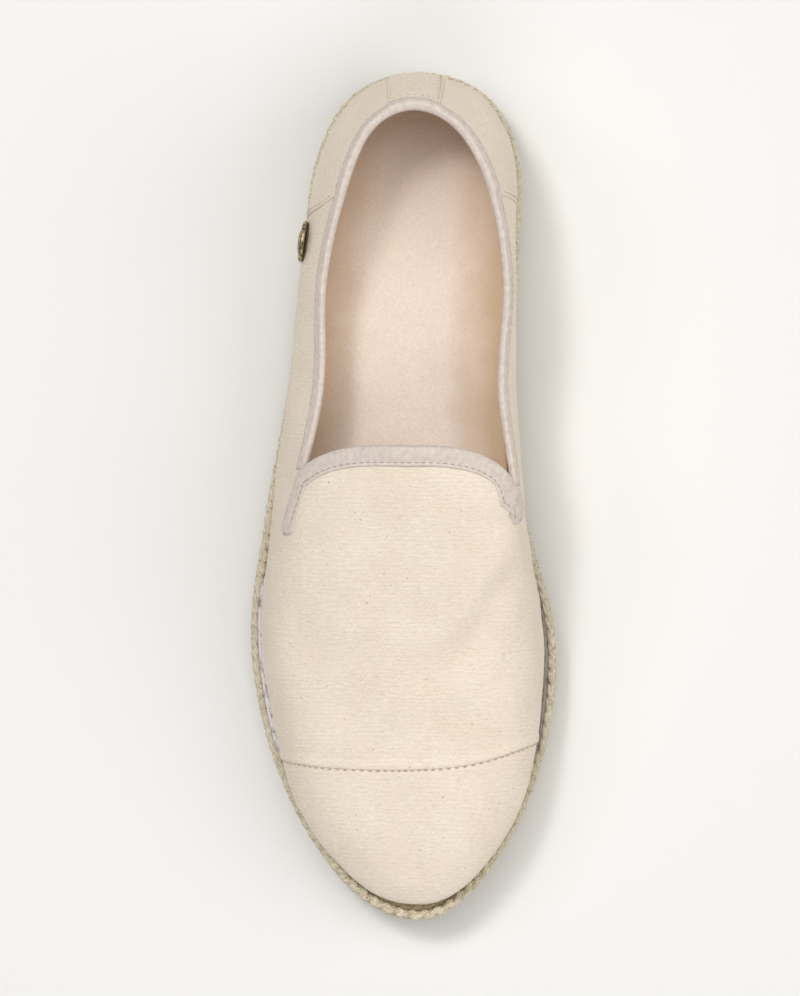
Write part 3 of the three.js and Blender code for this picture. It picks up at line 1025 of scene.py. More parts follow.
@dataclass(frozen=True)
class Crepe:
    """Natural rubber for the outsole, matt, with a fine diamond tread."""

    light: Colour = (198, 168, 124)
    dark: Colour = (168, 138, 98)
    tread: float = 3.0
    tread_relief: float = 0.35
    pore_relief: float = 0.15

    def material(self) -> bpy.types.Material:
        """Mixes the material."""
        paint = Paint("crepe_rubber", 0.75)
        place = paint.object_place()
        x, y = paint.parts(place)
        plus, minus = (paint.wave(paint.math(how, x, y), self.tread) for how in ("ADD", "SUBTRACT"))
        diamonds = paint.span(paint.times(plus, minus), -0.2, 0.2)
        pores = paint.noise(place, 1.6, 4.0, 0.7)
        tone = paint.total(paint.spread(pores, 0, 0.5), paint.cloud(place, 0.08, 3.0, 0.6, 0, 0.5))
        paint.colour(paint.blend(tone, self.dark, self.light))
        lower = paint.bump(diamonds, self.tread_relief)
        paint.bump(pores, self.pore_relief, lower)
        return paint.material


@dataclass(frozen=True)
class Floor:
    """Pale matt studio floor."""

    light: Colour = (238, 237, 234)
    dark: Colour = (234, 233, 230)

    def material(self) -> bpy.types.Material:
        """Mixes the material."""
        paint = Paint("floor", 0.9)
        patches = paint.noise(paint.object_place((1, 1, 1)), 1.2, 2.0)
        paint.colour(paint.blend(patches, self.dark, self.light))
        return paint.material


class Finish(Enum):
    """The shoe's finishes, each with the record's slot that it stands for."""

    CANVAS = (Canvas(), "canvas")
    TAPE = (Tape(), "tape")
    JUTE = (Jute(), "jute")
    SHADED_JUTE_CORE = (ShadedJuteCore(), "jute")
    SUEDE = (Suede(), "suede")
    LINING = (Lining(), "canvas")
    # painted shade: the cap seam's thread is a thread tone darkened a little below the canvas thread, for the
    # shade in the stitch holes
    SHADED_SEAM_THREAD = (Thread("seam_thread", (206, 190, 168)), "canvas")
    CANVAS_THREAD = (Thread("canvas_thread", (214, 200, 180)), "canvas")
    TAPE_THREAD = (Thread("tape_thread", (176, 161, 149)), "tape")
    PALE_THREAD = (Thread("pale_thread", (208, 195, 184)), "tape")
    # lit and shaded copies of one metallic leather: the lateral strip's copy is painted light as if catching
    # the key light, the medial strip's copy darker as painted shade
    LIT_METAL_LEATHER = (MetalLeather("lit_metal_leather", (250, 244, 246), (146, 134, 128)), "pewter")
    SHADED_METAL_LEATHER = (MetalLeather("shaded_metal_leather", (166, 154, 142), (104, 92, 82)), "pewter")
    BRONZE = (Bronze(), "bronze")
    CREPE = (Crepe(), "rubber")

    @property
    def slot(self) -> str:
        """The record's material slot."""
        return self.value[1]

    def material(self) -> bpy.types.Material:
        """Returns the finish's material, mixed once."""
        if self not in MIXED:
            MIXED[self] = self.value[0].material()
        return MIXED[self]


MIXED: dict[Finish, bpy.types.Material] = {}


def dress(piece: bpy.types.Object, *finishes: Finish) -> None:
    """Gives a piece its finishes."""
    piece.data.materials.clear()
    for finish in finishes:
        piece.data.materials.append(finish.material())


def deliver(piece: bpy.types.Object, *nodes: str) -> bpy.types.Object:
    """Puts a finished piece on the shoe, in place of the nodes that it stands for."""
    if nodes:
        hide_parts(*nodes)
    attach(piece, ROOT)
    return piece


# ------------------------------------------------------------------------------------------ canvas pieces


@dataclass(frozen=True)
class Crease:
    """A soft ridge in the vamp, or a trough where its height is negative, between two places on the plan."""

    start: tuple[float, float]
    end: tuple[float, float]
    height: float
    width: float
    beyond: float = 0.3
    rise: float = 0.25

    def relief(self, points: Grid) -> Grid:
        """Returns how far the crease lifts each point."""
        start, end = np.array(self.start), np.array(self.end)
        run = end - start
        plan = points[..., :2]
        t = np.clip(((plan - start) @ run) / (run @ run), -self.beyond, 1 + self.beyond)
        away = np.linalg.norm(plan - (start + t[..., None] * run), axis=-1)
        fade = smoothstep(-self.beyond, self.rise, t) * (1 - smoothstep(1 - self.rise, 1 + self.beyond, t))
        return self.height * np.exp(-((away / self.width) ** 2)) * fade


CREASES = (
    Crease((33.2, -13.0), (16.4, -38.0), 1.0, 4.4),
    Crease((32.0, -22.0), (16.0, -50.0), -0.9, 5.0),
    Crease((-34.0, -15.0), (-24.0, -56.0), -0.45, 6.0),
    Crease((-12.0, 4.0), (-17.0, -58.0), 0.45, 6.0),
    Crease((-19.0, -36.0), (12.0, -41.0), 0.35, 5.0),
    Crease((-6.0, -62.0), (26.0, -55.0), 0.35, 5.0),
    Crease((38.0, -34.0), (30.0, -56.0), -0.4, 3.6),
)


def ripple(points: Grid) -> Grid:
    """Returns the slight unevenness of stretched cloth, in millimetres."""
    x, y, z = points[..., 0], points[..., 1], points[..., 2]
    return (
        0.10 * np.sin(0.23 * x + 0.11 * y + 1.3)
        + 0.08 * np.sin(0.31 * y - 0.17 * x + 0.2 * z)
        + 0.05 * np.sin(0.57 * x + 0.41 * z + 2.1) * np.sin(0.49 * y + 0.7)
    )


@dataclass(frozen=True)
class SeamRow:
    """One point of the toe cap's seam on the plan."""

    x: float
    y: float


@dataclass(frozen=True)
class CounterRow:
    """One point of the counter's seam: its place across and its distance from the heel."""

    across: float
    along: float


CAP_SEAM = (
    SeamRow(-42, -76.4),
    SeamRow(-20, -78.6),
    SeamRow(0, -79),
    SeamRow(21, -77.5),
    SeamRow(42, -71.5),
)

COUNTER_SEAM = (
    CounterRow(-1, 44.5),
    CounterRow(-0.74, 42.4),
    CounterRow(-0.58, 36.5),
    CounterRow(-0.44, 27.5),
    CounterRow(0.44, 27.5),
    CounterRow(0.58, 34.0),
    CounterRow(0.74, 39.5),
    CounterRow(1, 43.0),
)

SEAM_LINE = SmoothCurve([row.x for row in CAP_SEAM], [row.y for row in CAP_SEAM])
COUNTER_LINE = SmoothCurve([row.across for row in COUNTER_SEAM], [row.along for row in COUNTER_SEAM])


def columns_over(low: float, high: float, count: int) -> Grid:
    """Returns evenly spaced places across."""
    return np.linspace(low, high, count + 1)


def both_sides(side: Grid) -> Grid:
    """Returns places across on both sides, from the lateral side to the medial one."""
    return np.concatenate([-side[::-1], side])


def fold(to_edge: Grid, share: float, run: float) -> Grid:
    """Returns how high a folded edge stands: a share of its height at the edge, all of it from run on."""
    return share + (1 - share) * np.sqrt(np.clip(to_edge / run, 0, 1))


def tucked(points: Grid, cloth: Grid) -> tuple[Grid, Grid]:
    """Carries the two lower edges of a wall down behind the jute.

    Args:
        points: Points of the wall, whose first and last columns are its lower edges.
        cloth: The cloth's coordinates in the same layout.

    Returns:
        Both grids with a column added at each end.
    """
    depth = 2.0
    down, over = np.array([0, 0, -depth]), np.array([depth, 0])
    points = np.concatenate([points[:, :1] + down, points, points[:, -1:] + down], axis=1)
    return points, np.concatenate([cloth[:, :1] - over, cloth, cloth[:, -1:] + over], axis=1)


def wall_cloth(points: Grid) -> Grid:
    """Returns the cloth's coordinates on a wall with a row's points one above the other."""
    around = np.cumsum(np.linalg.norm(np.diff(points, axis=0, prepend=points[:1]), axis=-1), axis=0)
    return np.stack([around, points[..., 2]], -1)


@dataclass(frozen=True)
class HeelLayer:
    """A layer of canvas laid around the heel, over the quarters and parted by the collar's opening."""

    name: str
    last: Last
    lift: float
    thickness: float
    fold_share: float
    fold_run: float
    upright: bool = False

    def build(self, side: Grid, station: Grid) -> bpy.types.Object:
        """Builds the layer.

        Args:
            side: Places across on the medial side, from the top down.
            station: Stations by row from the back of the heel, and by column over both sides.

        Returns:
            The new piece, dressed.
        """
        places = np.broadcast_to(both_sides(side), station.shape)
        points = self.last.point(station, places)
        to_edge = np.linalg.norm(points - points[-1], axis=-1)
        out = ripple(points) + self.lift * fold(to_edge, self.fold_share, self.fold_run)
        points = points + self.last.normal(station, places) * out[..., None]
        cloth = wall_cloth(points)
        points, cloth = tucked(points, cloth[..., ::-1] if self.upright else cloth)
        hole = np.zeros((points.shape[0] - 1, points.shape[1] - 1), bool)
        hole[:, len(side)] = True
        piece = wrapped_grid(self.name, points, cloth, hole)
        thicken(piece, self.thickness)
        dress(piece, Finish.CANVAS)
        return piece


@dataclass
class Upper:
    """The canvas upper with its lining: quarters and vamp in one, the toe cap and the counter."""

    last: Last
    edge_lift: float = 0.42
    edge_run: tuple[float, float] = (0.9, 3.4)
    cap_wall: float = 1.15
    cap_start: float = 0.0016
    cap_sink: float = 0.12
    counter_lift: float = 0.4
    quarter_rows: int = 84
    vamp_rows: int = 92
    cap_rows: int = 52
    counter_rows: int = 48
    side_columns: int = 26
    vamp_columns: int = 54

    def across(self) -> Grid:
        """Returns the places across of the columns, from feather line to feather line."""
        rim = self.last.collar_at
        parts = [
            columns_over(-1, -rim, self.side_columns)[:-1],
            columns_over(-rim, rim, self.vamp_columns)[:-1],
            columns_over(rim, 1, self.side_columns),
        ]
        return np.concatenate(parts)

    def quarters_and_vamp(self) -> bpy.types.Object:
        """Builds the wall from heel to cap seam, where its folded edge stands a little proud."""
        last, across = self.last, self.across()
        throat = last.throat_station(across)
        seam = last.station_of(across, SEAM_LINE)
        behind = np.linspace(0, 1, self.quarter_rows + 1)[:, None] * throat
        t = np.linspace(0, 1, self.vamp_rows + 1)[1:, None]
        t = 1 - (1 - t) ** 1.6
        station = np.concatenate([behind, throat + (seam - throat) * t])
        places = np.broadcast_to(across, station.shape)
        points = last.point(station, places)
        to_seam = points[..., 1] - SEAM_LINE(points[..., 0])
        out = ripple(points) * smoothstep(0, 8, points[..., 1] - points[-1, :, 1])
        out += sum(crease.relief(points) for crease in CREASES)
        out += self.edge_lift * (1 - smoothstep(*self.edge_run, to_seam)) * fold(to_seam, 0.5, 0.55)
        points = points + last.normal(station, places) * out[..., None]
        middle = (across[:-1] + across[1:]) / 2
        open_rows = np.arange(len(station) - 1)[:, None] < self.quarter_rows
        hole = open_rows & (np.abs(middle) < last.collar_at)
        points, cloth = tucked(points, last.grain(points))
        piece = wrapped_grid("vamp_and_quarters", points, cloth, np.pad(hole, ((0, 0), (1, 1))))
        thicken(piece, last.wall, lined=True)
        dress(piece, Finish.CANVAS, Finish.LINING)
        return piece

    def toe_cap(self) -> bpy.types.Object:
        """Builds the cap, which starts under the vamp's folded edge."""
        last, across = self.last, self.across()
        start = last.station_of(across, SEAM_LINE) - self.cap_start
        t = np.linspace(0, 1, self.cap_rows + 1)[:, None] ** 1.25
        station = start + (1 - start) * t
        places = np.broadcast_to(across, station.shape)
        points = last.point(station, places)
        past_seam = SEAM_LINE(points[..., 0]) - points[..., 1]
        out = 0.8 * ripple(points) * smoothstep(0, 6, past_seam)
        out -= self.cap_sink * (1 - smoothstep(0, 1.6, past_seam))
        points = points + last.normal(station, places) * out[..., None]
        piece = wrapped_grid("toe_cap", *tucked(points, last.grain(points)))
        thicken(piece, self.cap_wall, lined=True)
        dress(piece, Finish.CANVAS, Finish.LINING)
        return piece

    def counter(self) -> bpy.types.Object:
        """Builds the second layer of canvas around the heel."""
        side = columns_over(self.last.collar_at, 1, self.side_columns)
        front = self.last.station_at(COUNTER_LINE(both_sides(side)))
        t = np.linspace(0, 1, self.counter_rows + 1)[:, None]
        lift = self.counter_lift
        layer = HeelLayer("counter", self.last, lift, thickness=lift, fold_share=0.55, fold_run=0.5)
        return layer.build(side, front * (1 - (1 - t) ** 1.3))

    def build(self) -> Pieces:
        """Builds the three pieces, which stand for the CAD upper."""
        pieces = [self.quarters_and_vamp(), self.toe_cap(), self.counter()]
        return [deliver(piece, "upper") for piece in pieces]


@dataclass
class HeelStay:
    """The strip of canvas up the back of the heel."""

    last: Last
    at_feather: float = 0.037
    at_collar: float = 0.054
    top: float = 0.46
    lift: float = 0.95
    thickness: float = 0.5
    rows: int = 12
    side_columns: int = 40

    def half_width(self, across: Grid) -> Grid:
        """Returns the strip's half-width in stations at places across."""
        up = (1 - np.abs(across)) / (1 - self.top)
        return self.at_feather + (self.at_collar - self.at_feather) * up

    def build(self) -> Pieces:
        """Builds the strip."""
        side = columns_over(self.top, 1, self.side_columns)
        t = np.linspace(0, 1, self.rows + 1)[:, None] ** 0.8
        station = self.half_width(both_sides(side)) * t
        folds = {"fold_share": 0.6, "fold_run": 0.6, "upright": True}
        layer = HeelLayer("heel_stay_canvas", self.last, self.lift, self.thickness, **folds)
        return [deliver(layer.build(side, station), "heel_stay")]


# -------------------------------------------------------------------------------------------- edge tapes


@dataclass
class CollarTape:
    """A tape folded over the collar's rim."""

    last: Last
    upper: Upper
    stay: HeelStay
    tape: float = 0.36
    leg: float = 3.1
    corner: float = 0.35
    seam_up: float = 0.7
    rings: int = 220
    girth_ring: int = 10
    step: float = 0.05
    counter_step: tuple[float, float] = (-0.006, 0.004)
    stay_step: tuple[float, float] = (-0.003, 0.004)

    def rim(self, count: int) -> tuple[Grid, Grid]:
        """Returns stations and sides of places on the rim, from one corner of the throat to the other."""
        collar = self.last.collar_at
        ends = self.last.throat_station(np.array([-collar, collar]))
        t = np.linspace(-1, 1, count)
        return np.where(t < 0, ends[0], ends[1]) * np.abs(t), np.where(t < 0, -1.0, 1.0)

    def drop(self, station: Grid, side: Grid) -> Grid:
        """Returns the small steps down the wall from places on the rim."""
        collar = self.last.collar_at
        return self.last.point(station, side * (collar + self.step)) - self.last.point(station, side * collar)

    def below(self, station: Grid, side: Grid, distance: float) -> Grid:
        """Returns the places across that lie a distance below places on the rim."""
        reach = np.linalg.norm(self.drop(station, side), axis=-1)
        return side * (self.last.collar_at + distance / reach * self.step)

    def profile(self) -> list[tuple[float, float]]:
        """Returns the tape's closed section: how far out and how far above the rim each point is."""
        wall, leg, corner = self.last.wall, self.leg, self.corner
        out, within = self.tape, -wall - self.tape
        middle, radius = (out + within) / 2, (out - within) / 2
        bend = [math.pi * k / 12 for k in range(13)]
        outside = [
            (0.08, -leg),
            (out * 0.75, -leg),
            (out, -leg + corner),
            (out, -leg * 0.66),
            (out, -leg * 0.33),
        ]
        over = [(middle + radius * math.cos(a), 0.75 * radius * math.sin(a)) for a in bend]
        inside = [
            (within, -leg * 0.4),
            (within, -leg + corner),
            (within + 0.2, -leg),
            (-wall - 0.04, -leg),
        ]
        under = [
            (middle + 0.72 * radius * math.cos(a), 0.55 * radius * math.sin(a)) for a in reversed(bend[::3])
        ]
        return [*outside, *over, *inside, *under, outside[0]]

    def cover(self, station: Grid, side: Grid) -> Grid:
        """Returns how far the counter and the stay beneath push the tape's outer leg out."""
        lift, front = self.upper.counter_lift, self.last.station_at(COUNTER_LINE(side * self.last.collar_at))
        over_counter = 1 - smoothstep(*self.counter_step, station - front)
        over_stay = 1 - smoothstep(*self.stay_step, station - self.stay.at_collar)
        return lift * over_counter + (self.stay.lift - lift) * over_stay

    def build(self) -> Pieces:
        """Sweeps the section around the collar."""
        last = self.last
        station, side = self.rim(self.rings + 1)
        top = last.point(station, side * last.collar_at)
        normal = last.normal(station, side * last.collar_at)
        up = -unit(self.drop(station, side))
        ring = np.arange(len(station))
        pucker = 0.05 * np.sin(0.9 * ring) * np.sin(0.23 * ring)
        cover = self.cover(station, side) + pucker
        inside = -last.wall - self.tape
        lines = []
        for out, rise in self.profile():
            base = last.point(station, self.below(station, side, max(0.0, -rise))) + up * max(0.0, rise)
            lift = cover * (out - inside) / (self.tape - inside)
            lines.append(base + normal * (out + lift)[:, None])
        points = np.stack(lines, 1)
        cloth = band_cloth(run_along(points[self.girth_ring]), run_along(top))
        piece = wrapped_grid("collar_tape", points, cloth, closed=True)
        dress(piece, Finish.TAPE)
        return [deliver(piece, "collar_binding")]


@dataclass
class ThroatTape:
    """A wide tape folded over the vamp's rim, with a flat ear on each side."""

    last: Last
    width: float = 5.3
    tape: float = 0.45
    leg: float = 3.6
    ear_leg: float = 0.3
    tip: float = 2.0
    lateral_ear: tuple[float, float] = (134.0, 0.487)
    medial_ear: tuple[float, float] = (127.4, 0.525)
    ear_spread: float = 0.7
    seam_in: float = 1.1
    seam_short: int = 4
    clear: float = 0.05
    ear_points: int = 24
    rim_points: int = 96
    bead_points: int = 8
    girth_ring: int = 60

    def path(self) -> tuple[Grid, Grid, Grid]:
        """Returns stations and places across of the tape's rear edge, and how far it is folded over."""
        last, rim = self.last, self.last.collar_at
        t = np.linspace(1, 0, self.ear_points + 1)[:-1] ** 1.6
        ears = []
        for side, (along, down) in ((-1, self.lateral_ear), (1, self.medial_ear)):
            corner = last.throat_station(np.array(side * rim))
            station = corner + (last.station_at(along) - corner) * t
            ears.append((station, side * (rim + (down - rim) * np.sqrt(t)), np.zeros_like(t)))
        over = rim * np.sin(np.linspace(-1, 1, self.rim_points + 1) * math.pi / 2)
        middle = (last.throat_station(over), over, smoothstep(0.0, 0.035, rim - np.abs(over)))
        lateral, medial = ears
        return tuple(np.concatenate([a, b, c[::-1]]) for a, b, c in zip(lateral, middle, medial))

    def spread(self, across: Grid) -> Grid:
        """Returns how much wider the tape is at places across: it fans out on the medial ear."""
        rim = self.last.collar_at
        return 1 + self.ear_spread * smoothstep(0.8 * rim, 0.48, across)

    def inward(self, station: Grid, across: Grid) -> Grid:
        """Returns the directions over the vamp at right angles to the tape's rear edge."""
        ahead = np.gradient(self.last.point(station, across), axis=0)
        return -unit(np.cross(self.last.normal(station, across), ahead))

    def seam(self) -> tuple[Grid, Grid]:
        """Returns stations and places across of the row of stitches, which stops short of both tips."""
        station, across, _ = self.path()
        distance = (self.width - self.seam_in) * self.spread(across)
        row = self.last.walk(station, across, self.inward(station, across), distance)
        return tuple(part[self.seam_short : -self.seam_short] for part in row)

    def build(self) -> Pieces:
        """Sweeps the folded section along the path."""
        last, width, tape = self.last, self.width, self.tape
        station, across, folded = self.path()
        run = run_along(last.point(station, across))
        tip = np.minimum(run, run[-1] - run)
        narrow = np.sqrt(np.clip(1 - np.clip(1 - tip / self.tip, 0, 1) ** 2, 0.004, 1))
        inward, normal = self.inward(station, across), last.normal(station, across)
        spread = self.spread(across)

        def laid(distance: Grid | float, out: Grid | float) -> Grid:
            """Returns points a distance in front of the rim and out from the canvas."""
            reach = (width / 2 + (distance - width / 2) * narrow) * spread
            place = last.walk(station, across, inward, reach)
            return last.offset(*place, np.broadcast_to(out, station.shape))

        face = [
            (width, 0.8),
            (width - 0.3, 1.2),
            (width - 0.7, 1.1),
            (width - self.seam_in, 0.55),
            (width - 1.6, 0.9),
            (width * 0.5, 1.3),
            (width * 0.25, 1.5),
            (0.05, 1.15),
        ]
        hem = 0.06
        rings = [laid(width, hem), *(laid(distance, tape * height) for distance, height in face)]
        radius = (tape + (last.wall + tape) * folded) / 2
        start, middle = laid(0.0, 0.0), tape - radius
        for k in range(1, self.bead_points + 1):
            angle = math.pi / 2 - math.pi * k / (self.bead_points + 1)
            back = -0.55 * radius * math.cos(angle)
            high = middle + radius * math.sin(angle)
            rings.append(start + inward * back[..., None] + normal * high[..., None])
        reach = self.ear_leg + (self.leg - self.ear_leg) * folded
        inner = hem - (last.wall + tape + hem) * folded
        under = self.clear - (last.wall + 0.03 + self.clear) * folded
        rings += [laid(reach * 0.5, inner), laid(reach, inner), laid(reach, under), laid(reach * 0.4, under)]
        rings += [laid(0.12, under), laid(0.12, self.clear), laid(width / 2, self.clear), rings[0]]
        points = np.stack(rings, 1)
        cloth = band_cloth(run_along(points[self.girth_ring]), run)
        piece = wrapped_grid("throat_tape", points, cloth, closed=True)
        dress(piece, Finish.TAPE)
        return [deliver(piece, "throat_binding")]


# ------------------------------------------------------------------------------------------------ stitches


@dataclass
class StitchRow:
    """A row of stitches that lie on the last."""

    last: Last
    name: str
    finish: Finish
    pitch: float = 2.2
    length: float = 1.5
    width: float = 0.42
    height: float = 0.34
    unevenness: float = 0.12

    def model(self) -> bpy.types.Object:
        """Models one stitch: a short thread pulled in at both ends."""
        deselect()
        bpy.ops.mesh.primitive_uv_sphere_add(segments=6, ring_count=5, radius=0.5 * MM)
        stitch = bpy.context.active_object
        stitch.rotation_euler = (0, math.pi / 2, 0)
        settle(stitch)
        stitch.scale = (self.length, self.width, self.height)
        settle(stitch)
        bpy.ops.object.shade_smooth()
        return stitch

    def sew(self, station: Grid, across: Grid, out: Grid | float) -> bpy.types.Object:
        """Sews the row along a line of places, out from the last's surface."""
        points = self.last.offset(station, across, out)
        normals = self.last.normal(station, across)
        rows = spaced(points, self.pitch)
        rows += self.unevenness * (rows[1] - rows[0]) * np.sin(12.9898 * np.arange(len(rows)))
        at, up = along_rows(points, rows), along_rows(normals, rows)
        ahead = along_rows(np.gradient(points, axis=0), rows)
        piece = copies(self.name, self.model(), [place_matrix(*place) for place in zip(at, ahead, up)])
        dress(piece, self.finish)
        return deliver(piece)


@dataclass
class Stitching:
    """Every row of stitches on the upper."""

    last: Last
    stay: HeelStay
    collar_tape: CollarTape
    throat_tape: ThroatTape
    cap_in: float = 0.35
    counter_in: float = 1.2
    stay_in: float = 0.0065
    stay_rows: tuple[float, float] = (0.965, 0.5)
    hem: float = 0.985

    def cap_seam(self) -> bpy.types.Object:
        """Sews the cap under the vamp's folded edge."""
        across = np.linspace(-self.hem, self.hem, 400)
        station = self.last.station_of(across, lambda x: SEAM_LINE(x) - self.cap_in)
        row = StitchRow(self.last, "cap_stitches", Finish.SHADED_SEAM_THREAD, length=1.2, height=0.26)
        return row.sew(station, across, 0.2)

    def throat(self) -> bpy.types.Object:
        """Sews the throat tape a little inside its front edge."""
        size = {"pitch": 2.1, "length": 1.4, "width": 0.36, "height": 0.3}
        row = StitchRow(self.last, "throat_stitches", Finish.TAPE_THREAD, **size)
        return row.sew(*self.throat_tape.seam(), self.throat_tape.tape * 0.6)

    def collar(self) -> bpy.types.Object:
        """Sews the collar tape near its lower edge."""
        tape = self.collar_tape
        station, side = tape.rim(300)
        size = {"pitch": 2.3, "width": 0.3, "height": 0.24}
        row = StitchRow(self.last, "collar_stitches", Finish.PALE_THREAD, **size)
        across = tape.below(station, side, tape.leg - tape.seam_up)
        return row.sew(station, across, tape.tape + tape.cover(station, side))

    def counter(self, name: str, side: int) -> bpy.types.Object:
        """Sews one of the counter's front edges."""
        across = side * np.linspace(0.5, self.hem, 120)
        station = self.last.station_at(COUNTER_LINE(across) - self.counter_in)
        row = StitchRow(self.last, f"counter_stitches_{name}", Finish.CANVAS_THREAD, pitch=2.3, length=1.6)
        return row.sew(station, across, 0.42)

    def heel_stay(self, name: str, station: Grid, across: Grid) -> bpy.types.Object:
        """Sews one row on the heel stay."""
        row = StitchRow(self.last, f"stay_stitches_{name}", Finish.CANVAS_THREAD, pitch=2.1)
        return row.sew(station, across, 0.97)

    def build(self) -> Pieces:
        """Sews every row. The heel stay's rows are three sides of a rectangle, open below."""
        low, high = self.stay_rows
        up = np.linspace(low, high, 60)
        edge = self.stay.half_width(up) - self.stay_in
        t = np.linspace(-1, 1, 40)
        top = np.abs(t) * (self.stay.half_width(np.array(high)) - self.stay_in)
        return [
            self.cap_seam(),
            self.throat(),
            self.collar(),
            self.counter("lateral", -1),
            self.counter("medial", 1),
            self.heel_stay("lateral", edge, -up),
            self.heel_stay("medial", edge, up),
            self.heel_stay("top", top, np.where(t < 0, -high, high)),
        ]


# ------------------------------------------------------------------------------------------ insole and sole


@dataclass
class Insole:
    """The suede-covered sock, dished towards its middle and set further in under the vamp."""

    last: Last
    sock: float = 3.2
    cup: float = 2.8
    dish: tuple[float, float] = (0.4, 11.0)
    edge_round: float = 1.2
    edge_fall: float = 0.6
    tucked_in: float = 0.9
    under_vamp: float = 6.0
    under_vamp_from: tuple[float, float] = (0.5, 0.75)
    heel_dent: float = 0.5
    heel_dent_at: tuple[float, float] = (3.0, 88.0)
    heel_dent_size: tuple[float, float] = (17.0, 24.0)
    thickness: float = 2.4
    rows: int = 130
    inner_columns: int = 26
    rim_insets: tuple[float, ...] = (0, 0.12, 0.35, 0.7, 1.2, 2.0, 3.0, 4.2, 5.6, 7.0, 8.6, 10.5)

    def rim(self, side: int) -> list[Grid]:
        """Returns one side's rings from the rim inwards: x, y and distance from the rim of each point."""
        last, station = self.last, np.linspace(0, 1, self.rows + 1)
        edge = last.curves["feather"](station) + last.wall - self.tucked_in
        edge += self.under_vamp * smoothstep(*self.under_vamp_from, station)
        return [
            np.column_stack([last.outline(station, side, edge + inset), np.full_like(station, inset)])
            for inset in self.rim_insets
        ]

    def plan(self) -> Grid:
        """Returns x, y and distance from the rim by row and column, with straight rows inside the rings."""
        lateral, medial = self.rim(-1), self.rim(1)
        gap = medial[-1] - lateral[-1]
        deeper = np.zeros_like(gap)
        deeper[:, 2] = np.linalg.norm(gap, axis=-1)
        shares = np.linspace(0, 1, self.inner_columns + 1)[1:-1]
        inner = [lateral[-1] + gap * share + deeper * min(share, 1 - share) for share in shares]
        return np.stack([*lateral, *inner, *medial[::-1]], 1)

    def relief(self, x: Grid, y: Grid, inset: Grid) -> Grid:
        """Returns how high the suede lies over the sock's base."""
        rise = self.cup * (1 - smoothstep(*self.dish, inset))
        inward = np.clip(inset / self.edge_round, 0, 1)
        fall = self.edge_fall * (1 - np.sqrt(1 - (1 - inward) ** 2))
        (heel_x, heel_y), (wide, long) = self.heel_dent_at, self.heel_dent_size
        dent = self.heel_dent * np.exp(-(((x - heel_x) / wide) ** 2 + ((y - heel_y) / long) ** 2))
        uneven = 0.10 * np.sin(0.21 * x + 0.13 * y) + 0.07 * np.sin(0.37 * y - 0.19 * x + 1)
        return rise - fall - dent + uneven

    def build(self) -> Pieces:
        """Lays the sock."""
        last, grid = self.last, self.plan()
        x, y, inset = np.moveaxis(grid, -1, 0)
        base = last.curves["top"](np.linspace(0, 1, self.rows + 1)) + last.gap + self.sock
        points = np.stack([x, y, base[:, None] + self.relief(x, y, inset)], -1)
        piece = wrapped_grid("sock", points, np.stack([inset, y], -1))
        thicken(piece, self.thickness)
        dress(piece, Finish.SUEDE)
        return [deliver(piece, "insole")]


